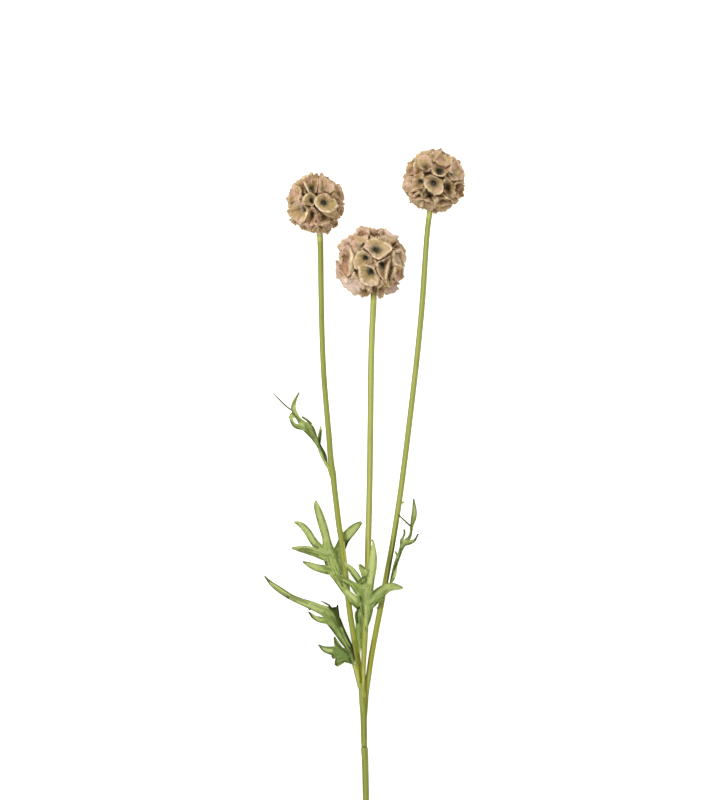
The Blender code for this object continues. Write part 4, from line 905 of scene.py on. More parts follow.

# Strokes of tint on the leaves, as on the heads. Their dark and black strokes are partly the leaves' own
# dark outlines and partly painted shade between lobes, under overlapping lobes and along shaded edges; a few
# light strokes are painted highlights.
LEAF_MARKS = {
    "leaf_left_upper": """
dark 1 .8 290.6 421 293 426 299 429.6 305 431.6 309 435 313 440.6 317.6 447.4
dark 1 .9 302 417 306 420 310.5 422.4 313 427 314.6 432 317 436.5
black 1.2 .8 320.4 431 319.8 437 319.9 443 321 447 323.6 451 325.4 456 327 461.5
dark 1.3 .7 318 438 320.4 445 323 452 325 459
light 1.4 .9 292.6 419 293.4 416.4
dark .9 .8 290.8 410 293 413.6 296.6 417 299.6 421
light 1.2 .9 320.6 453 322.6 458 325.6 463.5
light 1.4 .7 300 424 304 425.5
dark .9 .6 298.6 395 294.6 401 291.6 407
light 1 .5 294.4 404 293.8 409
dark 1 .6 305 425 309 431 314 438
""",
    "leaf_left_large": """
dark .9 .8 297 551.6 305 554 313 557 319 559.6 324 561.6 327.4 564.8
dark .7 .9 298 550.4 306 551.4 312 553 318 555
dark .6 .7 300 548.6 307 549.4 313 550.6
light .8 .8 300 547.4 306 547 313 548
dark 1 .8 311 543.4 314 546 318 547.8
dark .7 .6 297.6 525.8 302.4 531.2 306.8 538.4 311 544.4
dark .7 .5 304 522.5 311 531 316 539 320.5 543
dark .9 .7 320 508 324 519 328 531 331 543 333 549
dark .7 .5 315 505 315.6 514 318 524 321 535 322.6 542
light 1.6 .6 317 506 320 518 324 530 326 540
light 1.2 .5 300 523.5 306 530 312 540
dark .8 .6 306 562 315 563 322 564.8 327.5 564.4
light 1.8 .8 316 503 317.6 510 320 518
light 1.4 .8 321 509 324 518 327 528
light 1.6 .8 299.6 524.8 306 529.4 311 536 314 543
light 2.6 .5 314 547 320 550 327.6 552
black 1.1 .8 316 557.4 321 559.6 326 562.4
dark 1.3 .9 326.4 573 330 577 333.6 581
dark .9 .6 300 561.6 306 562.8
dark .9 .8 292.6 549.4 300 552.4 310 555.2
black 1 .7 318.6 539 321.6 542.4
light 1 .8 360.6 649 360.6 656 361 662
light 1.5 .6 307 563.8 314 566.4 322 568.4
dark 1 1 306 566.6 313 570.6 320 573.8 327 575 331 577.8 335 582.4 339 588 343 594 346.6 600
dark 1.4 .6 336.6 552 338 560 340 568 341.4 574
dark 1 1 362 524.8 357.4 531 352.6 537 348.8 542 346 546.6 344.6 550
black 1.7 .9 349.4 540.6 346.8 544 344.8 549
dark .9 .7 349 527 354 523.6 360 521.8
dark 1.2 .5 338.4 542 335.6 547 333.4 552
light 2.4 .7 347 537 350.8 531.6 357 526.6
dark .8 .9 341 582 342.4 586
light 1.8 .9 346.6 591.6 351 595.6 357 600.6
dark .8 .8 351 603 354.6 605.6 358.4 608.2
black 1.1 1 359 607.4 357.2 611 356.5 615 356.7 619 357.8 622.6
dark 1.1 .6 360 616 361 626 361 638
light .9 .8 360.4 613 360.8 616
""",
    "leaf_middle": """
light 2.2 .9 373.4 544 373.6 550 372.8 558 371.8 566 370.4 574 369.8 582
dark 1 .45 374 541.5 375.2 546 376.2 552 377 560 376.6 568 375 576 373.8 583
dark 1 .7 374 580 372.8 587 372.2 590
dark .8 .5 360.2 565.2 361.8 567.6
black 1.2 1 361 563 363.2 565.4 365.4 568
dark 1.3 .7 359.5 581 362 578 366 577 366.6 580 363.5 583 361 583.6
dark .7 .5 346 562.6 351 565 355 569.5 359 575 361 579
dark .8 .8 347 568 351 573 355 578 359 582.6
light 1.3 .6 346 564 351 568.6 356 574.6 359.6 579.6
dark .8 .6 335 574.8 341 576.6 347 578 352 579.8 356 582
dark .8 .7 337 578 343 581.4 348 585 352 588.4 356 594
dark 1.6 .3 362.4 590 362.6 602
dark 1.2 .9 360.2 596.4 361 600.4
light 3 .25 364 588 367 598 368 604
dark .9 .8 351 574.8 354.6 579 358 581.6
dark .8 .7 347 562.6 352 565.8 357 569
dark 1 .35 376 548 376.4 560
dark 1 .9 373.8 590.6 378 587 382.6 583.6
light 1 .8 365.2 568 366.8 573
light 1.6 .5 371 601 376 594.4 382 588.8 389 585.6
dark .9 .8 372.6 593 378 588.4 383 584.2
dark .9 .6 370 605 376 602 382 598 386 592.8
light 1.3 .5 388 588.8 398 587.6
dark 1.3 .8 352 577.8 354.6 580.4 357 582
dark 1.4 .5 368 570 368 576
dark .7 .6 384 582.8 392 582.8 398 584.8
dark 1.1 .3 370 612 374 606 378 602
dark .9 .9 377 602.6 372.4 610 370.2 617 368.6 624
light 1.3 .8 366 606 365.8 615 365.2 625
dark .9 .8 362 605 363 612 363.4 620
""",
    "leaf_lower_left": """
dark .9 .8 266 578.6 275 583.4 284 589.4 292 595 300 598
light 1.8 .6 287 594.6 292 597.6 298 599.4
light 1.1 .6 311 602.4 320 605.6 328 608.4
black 1.5 .8 331.6 606.2 336 608.4
dark 1.6 1 265.4 579 269.6 586.4 276.6 592.4 283 596.4 288 598
light 1.4 .6 290 598.4 298 600
dark 1 .8 301 597.6 307 599.4
dark .7 .6 291 599.4 300 604 310 609 319 614
light 1.1 .8 271 583 280 589 290 596
light 1.5 .7 298 601.4 310 605.6 322 611
dark .6 .7 283 593 291 597.4 300 600.4 308 603.4
dark 1.2 1 309.8 609.8 315 612.8 321 616.6
green 2.2 .4 314 606 321 609
light 1 .6 312 614.8 317.6 616.8
dark 1.3 1 309 612 312.4 618.6 319 623 327 625.4 331 628 335 634
light 1.1 .6 314 618.4 321 620
black 1.5 .6 329.6 606.6 334 608.6 338 606.4
dark 2.4 1 331 607.4 335.6 612 338.4 620 340 625
black 1.6 1 337.6 606 340 616 343 625 347 635 351 643.4 353.8 650 355.6 658
dark .8 .8 331 616 336 624 341 633 345 640.6 349 648
dark 1 .8 331 628 335 635 340 641 345 647 349 653
black .7 .8 334 634.6 339.6 641.4 344.8 647.4
light .7 .6 337 629 342 637 347 645
black 2 .8 351 648 353.6 654 355.6 661
""",
    "leaf_lowest": """
green 5.5 .75 325 650 336 653 345 657 352 662
dark .8 .5 319 645 326 646.8 333 646.4
dark 1.1 .9 334 638 335.4 642.6 339 646.4 344 650 349 655
dark 1.2 1 319.6 647 323.4 651.8 328 654.4 332.6 655.6
dark .9 .9 332.4 657.6 336 659 335 665.6 340 662.6 345 661.4 350 663
light 1.5 .8 322.4 648.8 327 650.4 331.4 650.6
black 1.6 .7 350 658.6 353.6 662 356 664.6
""",
    "leaf_right": """
dark 1 .8 413.6 500 412.6 508 411.9 516 411.2 525 412 532 409 537
dark .8 .7 414.6 502.6 416.4 511 415.8 518 413.2 524
light .9 .7 414.4 507 414.4 515
black 1.2 .7 401 549 400.2 555 398.4 560
dark 1.2 .8 397.6 560 395.4 566 392.6 572 390.4 580
light 1 .6 399 557 397.4 562
light 1 .6 395.2 569 393.6 577
dark 1.1 .6 407 539.8 412 538.8 415.6 535 417.6 532
dark .8 .4 413 505 412.4 520
black .9 .6 397 562 394 569 391.4 577
dark .9 .8 404.6 530.4 403.4 535 400.6 539.6 400.2 544
dark 1 .9 402.6 549 405 546 409 544.6 413.4 543 416 539.6 418 535
light 1.1 .8 396.4 570 394.8 577
light 1.2 .6 404 541 409 540.4 412.6 540.2
""",
}

# Colours, in linear light.
WHITE = (1.0, 1.0, 1.0)
STEM_LIGHT = (0.50, 0.52, 0.135)
STEM_DEEP = (0.31, 0.345, 0.065)
STEM_DARK = (0.13, 0.15, 0.015)
# The next colour is painted shade for the stalks' sides.
STEM_SIDE_SHADE = (0.20, 0.22, 0.09)
STEM_BLACK = (0.045, 0.055, 0.006)
# The next colour is the olive of the stalks' dark strokes, painted shade in the crease of the fork.
OLIVE_CREASE_SHADE = (0.145, 0.145, 0.004)
LEAF_LIGHT = (0.43, 0.50, 0.155)
LEAF_PALE = (0.54, 0.60, 0.230)
LEAF_BRIGHT = (0.34, 0.47, 0.080)
LEAF_MID = (0.25, 0.34, 0.085)
LEAF_DARK = (0.105, 0.170, 0.040)
LEAF_DEEP = (0.055, 0.072, 0.012)
# The next colour is painted shade for the blades' edges.
LEAF_EDGE_SHADE = (0.09, 0.11, 0.035)
LEAF_TIP = (0.060, 0.070, 0.035)
LEAF_BLACK = (0.006, 0.008, 0.002)
OLIVE = (0.28, 0.215, 0.075)
KHAKI = (0.46, 0.345, 0.140)
KHAKI_LIGHT = (0.60, 0.460, 0.215)
# The next colour, cream, is a painted highlight for the cups' rims.
CREAM_RIM_HIGHLIGHT = (0.90, 0.76, 0.46)
PINK = (0.70, 0.46, 0.33)
PALE = (0.86, 0.66, 0.50)
OUTER_PINK = (0.60, 0.39, 0.25)
ORANGE_BROWN = (0.38, 0.22, 0.085)
BROWN = (0.23, 0.135, 0.050)
# The next colour is painted shade for the bottoms of the gaps between cups and for the core.
GAP_SHADE_BROWN = (0.18, 0.110, 0.050)
HALO = (0.23, 0.205, 0.115)
EYE = (0.032, 0.032, 0.032)
BRISTLE = (0.016, 0.018, 0.022)
# On the stalks, dark and black are painted shade in the crease where the branches fork, at the notch below
# it and down their shaded sides; yellow is their own colour.
STEM_TINTS = (("light", STEM_LIGHT), ("yellow", (0.30, 0.305, 0.014)), ("dark", OLIVE_CREASE_SHADE),
              ("black", STEM_BLACK))
# On the leaves, dark and black are partly the leaves' own dark outlines and partly painted shade between
# lobes, under overlapping lobes and along shaded edges; light is mostly paler lobe middles, with a few
# painted highlights; green is their own colour.
LEAF_TINTS = (("green", (0.135, 0.205, 0.055)), ("light", LEAF_PALE), ("dark", LEAF_DEEP),
              ("black", LEAF_BLACK))
# On the heads, dark and black are painted shade, light is a painted highlight on the rims, and light, pale
# and some khaki strokes also paint light into shaded hollows; otherwise khaki, rust, pink, grey and pale are
# the membranes' own colours.
HEAD_TINTS = (("khaki", (0.50, 0.355, 0.130)), ("rust", (0.42, 0.23, 0.080)), ("pink", (0.68, 0.42, 0.31)),
              ("grey", (0.20, 0.18, 0.11)), ("light", (0.95, 0.76, 0.50)), ("pale", (0.82, 0.66, 0.56)),
              ("dark", (0.21, 0.125, 0.050)), ("black", (0.035, 0.024, 0.012)))
HEAD_KINDS = [kind for kind, tint in HEAD_TINTS]


def read_rows(text):
    """The rows of a text: each is a word and the numbers after it."""
    return [(word, [float(number) for number in numbers.split()])
            for word, numbers in re.findall("([a-z]+)([^a-z]+)", text)]


def stations(numbers):
    """Rows of x, y, z and radius or width."""
    return np.reshape(numbers, (-1, 4))


def new_object(name, data):
    made = bpy.data.objects.new(name, data)
    bpy.context.scene.collection.objects.link(made)
    return made


def new_mesh(name, points, faces):
    """A mesh from points in millimetres."""
    mesh = bpy.data.meshes.new(name)
    mesh.from_pydata((np.asarray(points, float) * MM).tolist(), [], faces)
    return mesh


def evaluated_mesh(thing):
    """A new mesh of an object with its modifiers applied."""
    graph = bpy.context.evaluated_depsgraph_get()
    return bpy.data.meshes.new_from_object(thing.evaluated_get(graph), depsgraph=graph)


def add_floats(mesh, name, values):
    mesh.attributes.new(name, "FLOAT", "POINT").data.foreach_set("value", np.asarray(values, np.float32))


def add_vectors(mesh, name, values):
    flat = np.asarray(values, np.float32).ravel()
    mesh.attributes.new(name, "FLOAT_VECTOR", "POINT").data.foreach_set("vector", flat)


def face_outwards(mesh):
    body = bmesh.new()
    body.from_mesh(mesh)
    bmesh.ops.recalc_face_normals(body, faces=body.faces)
    body.to_mesh(mesh)
    body.free()


def place_piece(name, mesh, look, slot, *nodes):
    """Shows a mesh as a piece of the part, in place of the CAD nodes that it stands for."""
    mesh.materials.clear()
    mesh.materials.append(look)
    mesh.shade_smooth()
    piece = new_object(name, mesh)
    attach(piece, "root")
    if nodes:
        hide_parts(*nodes)
    return piece


def blended(p0, p1, p2, p3, t):
    """The Catmull-Rom curve from p1 to p2 at t, from 0 to 1."""
    return 0.5 * (2 * p1 + (p2 - p0) * t + (2 * p0 - 5 * p1 + 4 * p2 - p3) * t ** 2
                  + (3 * p1 - p0 - 3 * p2 + p3) * t ** 3)


def catmull_rom(known, steps):
    """A smooth row of stations through the known ones, with all their numbers blended alike."""
    ends = np.vstack([2 * known[0] - known[1], known, 2 * known[-1] - known[-2]])
    made = [blended(*ends[k - 1:k + 3], t)
            for k in range(1, len(ends) - 2) for t in np.arange(steps) / steps]
    return np.array(made + [known[-1]])


def closed_curve(known):
    """A smooth closed curve through the known points."""
    count = len(known)
    return np.array([blended(*known[[k - 1, k, (k + 1) % count, (k + 2) % count]], t)
                     for k in range(count) for t in np.arange(RIM_STEPS) / RIM_STEPS])


class Look:
    """A Principled material and the few kinds of node that the looks here are made of."""

    def __init__(self, name, roughness, specular):
        self.material = bpy.data.materials.new(name)
        self.material.use_nodes = True
        self.tree = self.material.node_tree
        self.shader = self.tree.nodes["Principled BSDF"]
        self.shader.inputs["Roughness"].default_value = roughness
        self.shader.inputs["Specular IOR Level"].default_value = specular

    def put(self, socket, value):
        if isinstance(value, bpy.types.NodeSocket):
            self.tree.links.new(value, socket)
        elif socket.type == "RGBA":
            socket.default_value = (*value, 1.0)
        else:
            socket.default_value = value

    def node(self, kind, inputs, **settings):
        """The outputs of a new node with these inputs and settings."""
        made = self.tree.nodes.new("ShaderNode" + kind)
        for name, value in settings.items():
            setattr(made, name, value)
        for key, value in inputs.items():
            self.put(made.inputs[key], value)
        return made.outputs

    def attribute(self, name, output="Fac"):
        return self.node("Attribute", {}, attribute_name=name)[output]

    def place(self):
        return self.node("TexCoord", {})["Object"]

    def stretched(self, vector, scale):
        return self.node("VectorMath", {0: vector, 1: scale}, operation="MULTIPLY")[0]

    def noise(self, vector, scale, detail):
        return self.node("TexNoise", {"Vector": vector, "Scale": scale, "Detail": detail})["Fac"]

    def band(self, value, low, high, to_low=0.0, to_high=1.0):
        """value's stretch from low to high, smoothed and clamped to to_low and to_high."""
        ends = {"From Min": low, "From Max": high, "To Min": to_low, "To Max": to_high}
        return self.node("MapRange", {"Value": value, **ends}, interpolation_type="SMOOTHSTEP")["Result"]

    def maths(self, operation, first, second):
        return self.node("Math", {0: first, 1: second}, operation=operation)[0]

    def times(self, first, second):
        return self.maths("MULTIPLY", first, second)

    def mix(self, share, first, second):
        return self.node("Mix", {0: share, 6: first, 7: second}, data_type="RGBA")[2]

    def layer(self, under, tint, value, low, high, to_low=0.0, to_high=1.0):
        """The colour under with a tint over it, as strongly as value's band says."""
        return self.mix(self.band(value, low, high, to_low, to_high), under, tint)

    def marked(self, colour, tints, cover=1.0):
        """The colour with the marks of each kind on it, in turn."""
        for kind, tint in tints:
            colour = self.mix(self.times(self.attribute(kind), cover), colour, tint)
        return colour

    def separate(self, vector):
        return self.node("SeparateXYZ", {0: vector})

    def bump(self, height, distance, strength):
        bumped = self.node("Bump", {"Distance": distance * MM, "Strength": strength, "Height": height})
        self.put(self.shader.inputs["Normal"], bumped["Normal"])

    def finish(self, colour):
        self.put(self.shader.inputs["Base Color"], colour)
        return self.material


def cup_look():
    """Dry membrane: khaki with fine rays and pink blushes, a painted cream highlight on the rim, a dark eye
    and a pinkish outside, with painted shade in the gaps between cups and along crease lines.
    """
    look = Look("papery_membrane", 0.72, 0.12)
    ring, eye = look.attribute("ring"), look.attribute("eye")
    spoke = look.attribute("spoke", "Vector")
    pink, shade, pale = look.separate(look.attribute("tone", "Vector"))
    place = look.place()
    rays = look.noise(look.stretched(spoke, (3.2, 3.2, 40.0)), 3.0, 4.0)
    fibres = look.noise(look.stretched(spoke, (11.0, 11.0, 40.0)), 3.0, 3.0)
    patches = look.noise(place, 170.0, 3.0)
    blush = look.noise(place, 240.0, 2.0)
    flecks = look.noise(place, 420.0, 3.0)
    grain = look.noise(place, 900.0, 2.0)
    inside = look.layer(OLIVE, KHAKI, rays, 0.35, 0.66)
    inside = look.layer(inside, KHAKI_LIGHT, ring, 0.42, 0.85, 0.0, 0.8)
    inside = look.layer(inside, KHAKI, patches, 0.5, 0.68, 0.0, 0.6)
    pinkness = look.times(look.band(blush, 0.46, 0.62), look.band(ring, 0.3, 0.8, 0.1, 0.85))
    inside = look.mix(pinkness, inside, PINK)
    inside = look.mix(look.times(pink, 0.7), inside, PINK)
    inside = look.mix(look.times(pale, 0.5), inside, PALE)
    inside = look.mix(look.times(shade, 0.9), inside, BROWN)
    inside = look.layer(inside, ORANGE_BROWN, flecks, 0.56, 0.72, 0.0, 0.6)
    # painted highlight: a cream band along each rim's thin edge, broken up by the patches
    rim = look.times(look.band(ring, 0.84, 0.98), look.band(patches, 0.36, 0.62, 0.15, 0.85))
    inside = look.mix(rim, inside, CREAM_RIM_HIGHLIGHT)
    outside = look.layer(OUTER_PINK, PINK, patches, 0.38, 0.62)
    outside = look.layer(outside, KHAKI_LIGHT, fibres, 0.45, 0.7, 0.0, 0.5)
    outside = look.layer(outside, ORANGE_BROWN, flecks, 0.52, 0.7, 0.0, 0.6)
    # painted shade: the outer walls darken towards their roots deep in the gaps between cups, and the core
    # at place 2 is wholly in it
    outside = look.layer(outside, BROWN, ring, 1.25, 1.7, 0.0, 0.6)
    outside = look.layer(outside, GAP_SHADE_BROWN, ring, 1.7, 2.0)
    colour = look.layer(inside, outside, ring, 1.05, 1.18)
    colour = look.layer(colour, BROWN, fibres, 0.32, 0.60, 0.25, 0.0)
    # painted shade: thin brown lines for the shade in the membranes' folds, stronger towards the rim
    crease_shade = look.times(look.band(flecks, 0.455, 0.485), look.band(flecks, 0.485, 0.515, 1.0, 0.0))
    colour = look.mix(look.times(crease_shade, look.band(ring, 0.7, 1.1, 0.25, 0.6)), colour, BROWN)
    colour = look.layer(colour, ORANGE_BROWN, grain, 0.36, 0.52, 0.35, 0.0)
    colour = look.layer(colour, PALE, grain, 0.54, 0.70, 0.0, 0.35)
    colour = look.mix(look.times(eye, look.band(ring, 0.30, 0.56, 0.75, 0.0)), colour, HALO)
    colour = look.mix(look.times(eye, look.band(ring, 0.18, 0.34, 1.0, 0.0)), colour, EYE)
    # the strokes: painted shade, painted highlights and painted light, with the membranes' own colours
    colour = look.marked(colour, HEAD_TINTS, look.band(fibres, 0.3, 0.6, 0.6, 1.0))
    height = look.maths("ADD", look.times(rays, 0.7), look.times(grain, 0.25))
    look.bump(look.maths("ADD", height, look.times(fibres, 0.6)), 0.45, 0.9)
    return look.finish(colour)


def bristle_look():
    look = Look("dark_bristles", 0.6, 0.10)
    grain = look.noise(look.place(), 1200.0, 3.0)
    look.bump(grain, 0.08, 0.7)
    return look.finish(look.layer(BRISTLE, HALO, grain, 0.4, 0.7))


def stem_look():
    """Green stalk: pale middle, a grooved strip right of it and both sides darkened with painted shade, and
    olive strokes of painted shade where it forks.
    """
    look = Look("green_stalk", 0.55, 0.15)
    around = look.attribute("around", "Vector")
    across = look.separate(around)[0]
    streaks = look.noise(look.stretched(around, (2.6, 2.6, 0.012)), 1.0, 3.0)
    fine = look.noise(look.stretched(around, (9.0, 9.0, 0.03)), 1.0, 2.0)
    patches = look.noise(look.place(), 60.0, 3.0)
    base = look.mix(look.attribute("fresh"), STEM_DEEP, STEM_LIGHT)
    base = look.layer(base, STEM_DARK, streaks, 0.45, 0.7, 0.0, 0.3)
    base = look.layer(base, STEM_DARK, fine, 0.52, 0.72, 0.0, 0.25)
    base = look.layer(base, STEM_DARK, patches, 0.55, 0.75, 0.0, 0.25)
    # painted shade: a band right of the middle, on the side away from the key light, darker in colour and
    # sunk a little by the bump
    groove_and_side_shade = look.times(look.band(across, 0.15, 0.4), look.band(across, 0.5, 0.75, 1.0, 0.0))
    base = look.mix(look.times(groove_and_side_shade, 0.38), base, STEM_DARK)
    # painted shade on both sides of each stalk, as seen from above
    base = look.layer(base, STEM_SIDE_SHADE, across, 0.55, 0.90, 0.0, 0.85)
    base = look.layer(base, STEM_SIDE_SHADE, across, -0.90, -0.40, 0.85, 0.0)
    # the strokes, whose dark and black ones are painted shade
    base = look.marked(base, STEM_TINTS)
    height = look.maths("SUBTRACT", streaks, look.times(groove_and_side_shade, 0.6))
    look.bump(look.maths("ADD", height, look.times(fine, 0.5)), 0.25, 0.7)
    return look.finish(base)


def leaf_look(name, shade):
    """Matt leaf with lengthwise veins: paler lobes, dark tips, and edges darkened with painted shade. shade
    darkens the whole leaf.
    """
    look = Look(name, 0.65, 0.08)
    rib, edge, along = [look.attribute(key) for key in ("rib", "edge", "along")]
    veins = look.attribute("veins", "Vector")
    place = look.place()
    streaks = look.noise(look.stretched(veins, (0.95, 0.08, 7.0)), 1.0, 3.0)
    thin = look.noise(look.stretched(veins, (2.6, 0.16, 5.0)), 1.0, 2.0)
    mottle = look.noise(place, 150.0, 4.0)
    fine = look.noise(place, 700.0, 3.0)
    base = look.layer(LEAF_MID, LEAF_LIGHT, along, 0.12, 0.75)
    base = look.mix(shade, base, LEAF_DARK)
    base = look.layer(base, LEAF_DARK, streaks, 0.48, 0.62, 0.0, 0.7)
    base = look.layer(base, LEAF_DARK, thin, 0.54, 0.66, 0.0, 0.55)
    base = look.layer(base, LEAF_BRIGHT, streaks, 0.32, 0.46, 0.8, 0.0)
    base = look.layer(base, LEAF_PALE, thin, 0.34, 0.46, 0.45, 0.0)
    base = look.layer(base, LEAF_DARK, mottle, 0.45, 0.7, 0.0, 0.35)
    base = look.layer(base, LEAF_DARK, fine, 0.55, 0.75, 0.0, 0.2)
    base = look.layer(base, LEAF_LIGHT, rib, 0.10, 0.35, 0.25, 0.0)
    # painted shade along the blade's edges, which curl down away from the light
    base = look.layer(base, LEAF_EDGE_SHADE, edge, 0.06, 0.45, 0.40, 0.0)
    # the strokes, partly painted shade and a few painted highlights
    base = look.marked(base, LEAF_TINTS)
    base = look.layer(base, LEAF_TIP, along, 0.965, 0.998, 0.0, 0.8)
    height = look.maths("SUBTRACT", look.times(fine, 0.4), look.times(streaks, 0.9))
    look.bump(look.maths("ADD", height, look.band(rib, 0.1, 0.5, 0.8, 0.0)), 0.25, 0.8)
    return look.finish(base)


def spiral_points(count):
    """Even points on the unit ball, on a golden spiral."""
    turn = math.pi * (3.0 - math.sqrt(5.0))
    heights = 1.0 - 2.0 * (np.arange(count) + 0.5) / count
    radii = np.sqrt(1.0 - heights ** 2)
    angles = turn * np.arange(count)
    return np.stack([radii * np.cos(angles), radii * np.sin(angles), heights], axis=1)


def cup_directions(head, stem_way, draw):
    """Directions and sizes of a head's cups, by the rule of the solids."""
    chosen = [np.array([right, up, math.sqrt(max(0.0, 1.0 - right * right - up * up))])
              for right, up, size in FRONT_CUPS[head]]
    sizes = [size for right, up, size in FRONT_CUPS[head]]
    spots = spiral_points(SPOTS)
    closest = np.max(spots @ np.array(chosen + [stem_way]).T, axis=1)
    while closest.min() < math.cos(math.radians(CUP_SPACING)):
        pick = spots[int(np.argmin(closest))]
        chosen.append(pick)
        sizes.append(draw.uniform(*BACK_SIZES))
        closest = np.maximum(closest, spots @ pick)
    return np.array(chosen), np.array(sizes)


def turns(count):
    """Even turns round a circle."""
    return np.arange(count) * math.tau / count


def tangents(way):
    up = np.array([0.0, 1.0, 0.0]) if abs(way[1]) < 0.9 else np.array([0.0, 0.0, 1.0])
    side = np.cross(up, way)
    side /= np.linalg.norm(side)
    return side, np.cross(way, side)


class Cup:
    """One papery cup, by the rule of the solids, with finer ruffles on its rim."""

    def __init__(self, index, ways, sizes, radius, draw, fine):
        self.way = ways[index]
        self.side, self.up = tangents(self.way)
        self.radius = radius
        self.size = sizes[index]
        self.other_ways = np.delete(ways, index, axis=0)
        self.other_sizes = np.delete(sizes, index)
        self.lift = draw.uniform(*LIFTS)
        self.tilt = (draw.uniform(-TILT, TILT), draw.uniform(-TILT, TILT))
        self.waves = [(n, draw.uniform(*WAVE_SHARES) * share, draw.uniform(0.0, math.tau))
                      for n, share in WAVES]
        shift = draw.uniform(-SHIFT, SHIFT) * self.side + draw.uniform(-SHIFT, SHIFT) * self.up
        self.throat_way = (self.way + shift) / np.linalg.norm(self.way + shift)
        self.rise = fine.uniform(-RISE, RISE)
        self.ruffles = [(n, fine.uniform(*RUFFLE_SHARES) * share, fine.uniform(0.0, math.tau))
                        for n, share in RUFFLES]
        self.tone = [fine.uniform(0.0, most) for most in TONES]
        self.seed = fine.random()
        self.star = fine.uniform(*STAR_REACH)
        self.turn = fine.uniform(0.0, math.tau)
        self.corners = (fine.choice(CORNER_COUNTS), fine.uniform(0.0, math.tau),
                        fine.uniform(*RUFFLE_SHARES) * CORNERS)
        self.throat_depth = THROAT_DEPTH
        self.drawn_rim = None
        self.eye = 1.0

    def draw_rim(self, head, numbers):
        """Gives the cup the rim, throat and tone that the photo shows, from a row of DRAWN_CUPS."""
        eye, lift, lean = numbers[:2], numbers[2], numbers[3:5]
        self.throat_depth, self.tone = numbers[5], numbers[6:9]
        rim = closed_curve(np.reshape(numbers[9:], (-1, 2)))
        middle = rim.mean(axis=0)
        reach = np.linalg.norm(rim - middle, axis=1).mean()
        leaning = (rim - middle) / reach @ (np.array(lean) * (1.0, -1.0))
        distance = self.radius * (RIM_DISTANCE + lift + leaning)
        placed = seen_places(head, rim, distance)
        self.way = seen_places(head, [middle], np.array([self.radius]))[0]
        self.way /= np.linalg.norm(self.way)
        self.side, self.up = tangents(self.way)
        throat = seen_places(head, [eye], np.array([self.throat_depth * self.radius]))[0]
        self.throat_way = throat / np.linalg.norm(throat)
        distance = np.linalg.norm(placed, axis=1)
        ways = placed / distance[:, None]
        theta = np.arctan2(ways @ self.up, ways @ self.side)
        order = np.argsort(theta)
        angle = np.arccos(np.clip(ways @ self.way, -1.0, 1.0))
        self.drawn_rim = (theta[order], angle[order], distance[order])

    def outward(self, theta):
        return np.outer(np.cos(theta), self.side) + np.outer(np.sin(theta), self.up)

    def around(self, theta, distance, angle, axis):
        """Points at these turns round the cup, by their angle from the axis and distance from the centre."""
        return distance * (np.cos(angle) * axis + np.sin(angle) * self.outward(theta))

    def rim_angle(self, theta):
        """Angle at the head's centre from the cup's axis to its rim, in radians."""
        ruffle = sum(amount * np.sin(n * theta + phase) for n, amount, phase in self.ruffles)
        if self.drawn_rim:
            return np.interp(theta, self.drawn_rim[0], self.drawn_rim[1], period=math.tau) * (1.0 + ruffle)
        along = self.outward(theta) @ self.other_ways.T
        share = 2.0 * self.size / (self.size + self.other_sizes)
        apart = 1.0 - self.other_ways @ self.way
        meeting = np.arctan2(apart, np.maximum(along, TINY)) * share
        near = np.where(along > 0.0, meeting ** -CORNER, 0.0).sum(axis=1)
        closeness = math.radians(CUP_REACH * self.size) ** -CORNER + near
        dip = sum(amount * (1.0 + np.sin(n * theta + phase)) / 2.0 for n, amount, phase in self.waves)
        count, turn, reach = self.corners
        point = reach * np.maximum(0.0, np.cos(count * theta + turn)) ** CORNER_POWER
        meeting_angle = closeness ** (-1.0 / CORNER) * RIM_GAP
        return meeting_angle * (1.0 - dip + point) * (1.0 + SPREAD * self.rise + ruffle)

    def rim_distance(self, theta):
        """Distance from the head's centre to the rim, in millimetres."""
        wave = sum(amount * np.cos(n * theta + 2.0 * phase) for n, amount, phase in self.waves)
        ruffle = sum(amount * np.cos(n * theta + 3.0 * phase) for n, amount, phase in self.ruffles)
        count, turn, reach = self.corners
        peak = PEAKS * reach * np.maximum(0.0, np.cos(count * theta + turn)) ** PEAK_POWER
        if self.drawn_rim:
            distance = np.interp(theta, self.drawn_rim[0], self.drawn_rim[2], period=math.tau)
            return distance + self.radius * (DRAWN_WAVE * wave + ruffle + peak)
        lean = self.tilt[0] * np.cos(theta) + self.tilt[1] * np.sin(theta)
        return self.radius * (RIM_DISTANCE + self.lift + self.rise + lean + FREE_WAVE * wave + ruffle + peak)

    def inner(self, theta, share, climb):
        """The inner wall's ring at a share of the rim's radius, climb of the way up from the throat."""
        angle = (share * self.rim_angle(theta))[:, None]
        throat = self.throat_depth * self.radius
        distance = throat * (1.0 - climb) + self.rim_distance(theta)[:, None] * climb
        return self.around(theta, distance, angle, self.throat_way * (1.0 - climb) + self.way * climb)

    def meet(self, cups):
        """Notes the cups that stand round this one, with their spread."""
        self.spread = float(self.rim_angle(turns(SPREAD_TURNS)).mean())
        self.neighbours = [cup for cup in cups if cup is not self and cup.way @ self.way > NEIGHBOUR]

    def wall_angle(self, theta):
        """Angle from the cup's axis to where its outer wall meets those of its neighbours."""
        ways = np.array([cup.way for cup in self.neighbours])
        share = 2.0 * self.spread / (self.spread + np.array([cup.spread for cup in self.neighbours]))
        along = self.outward(theta) @ ways.T
        meeting = np.arctan2(1.0 - ways @ self.way, np.maximum(along, TINY)) * share
        cell = np.where(along > 0.0, meeting, FAR).min(axis=1)
        rim = self.rim_angle(theta)
        return np.clip(cell, rim * WALL_LEAST, rim * WALL_SPREAD)

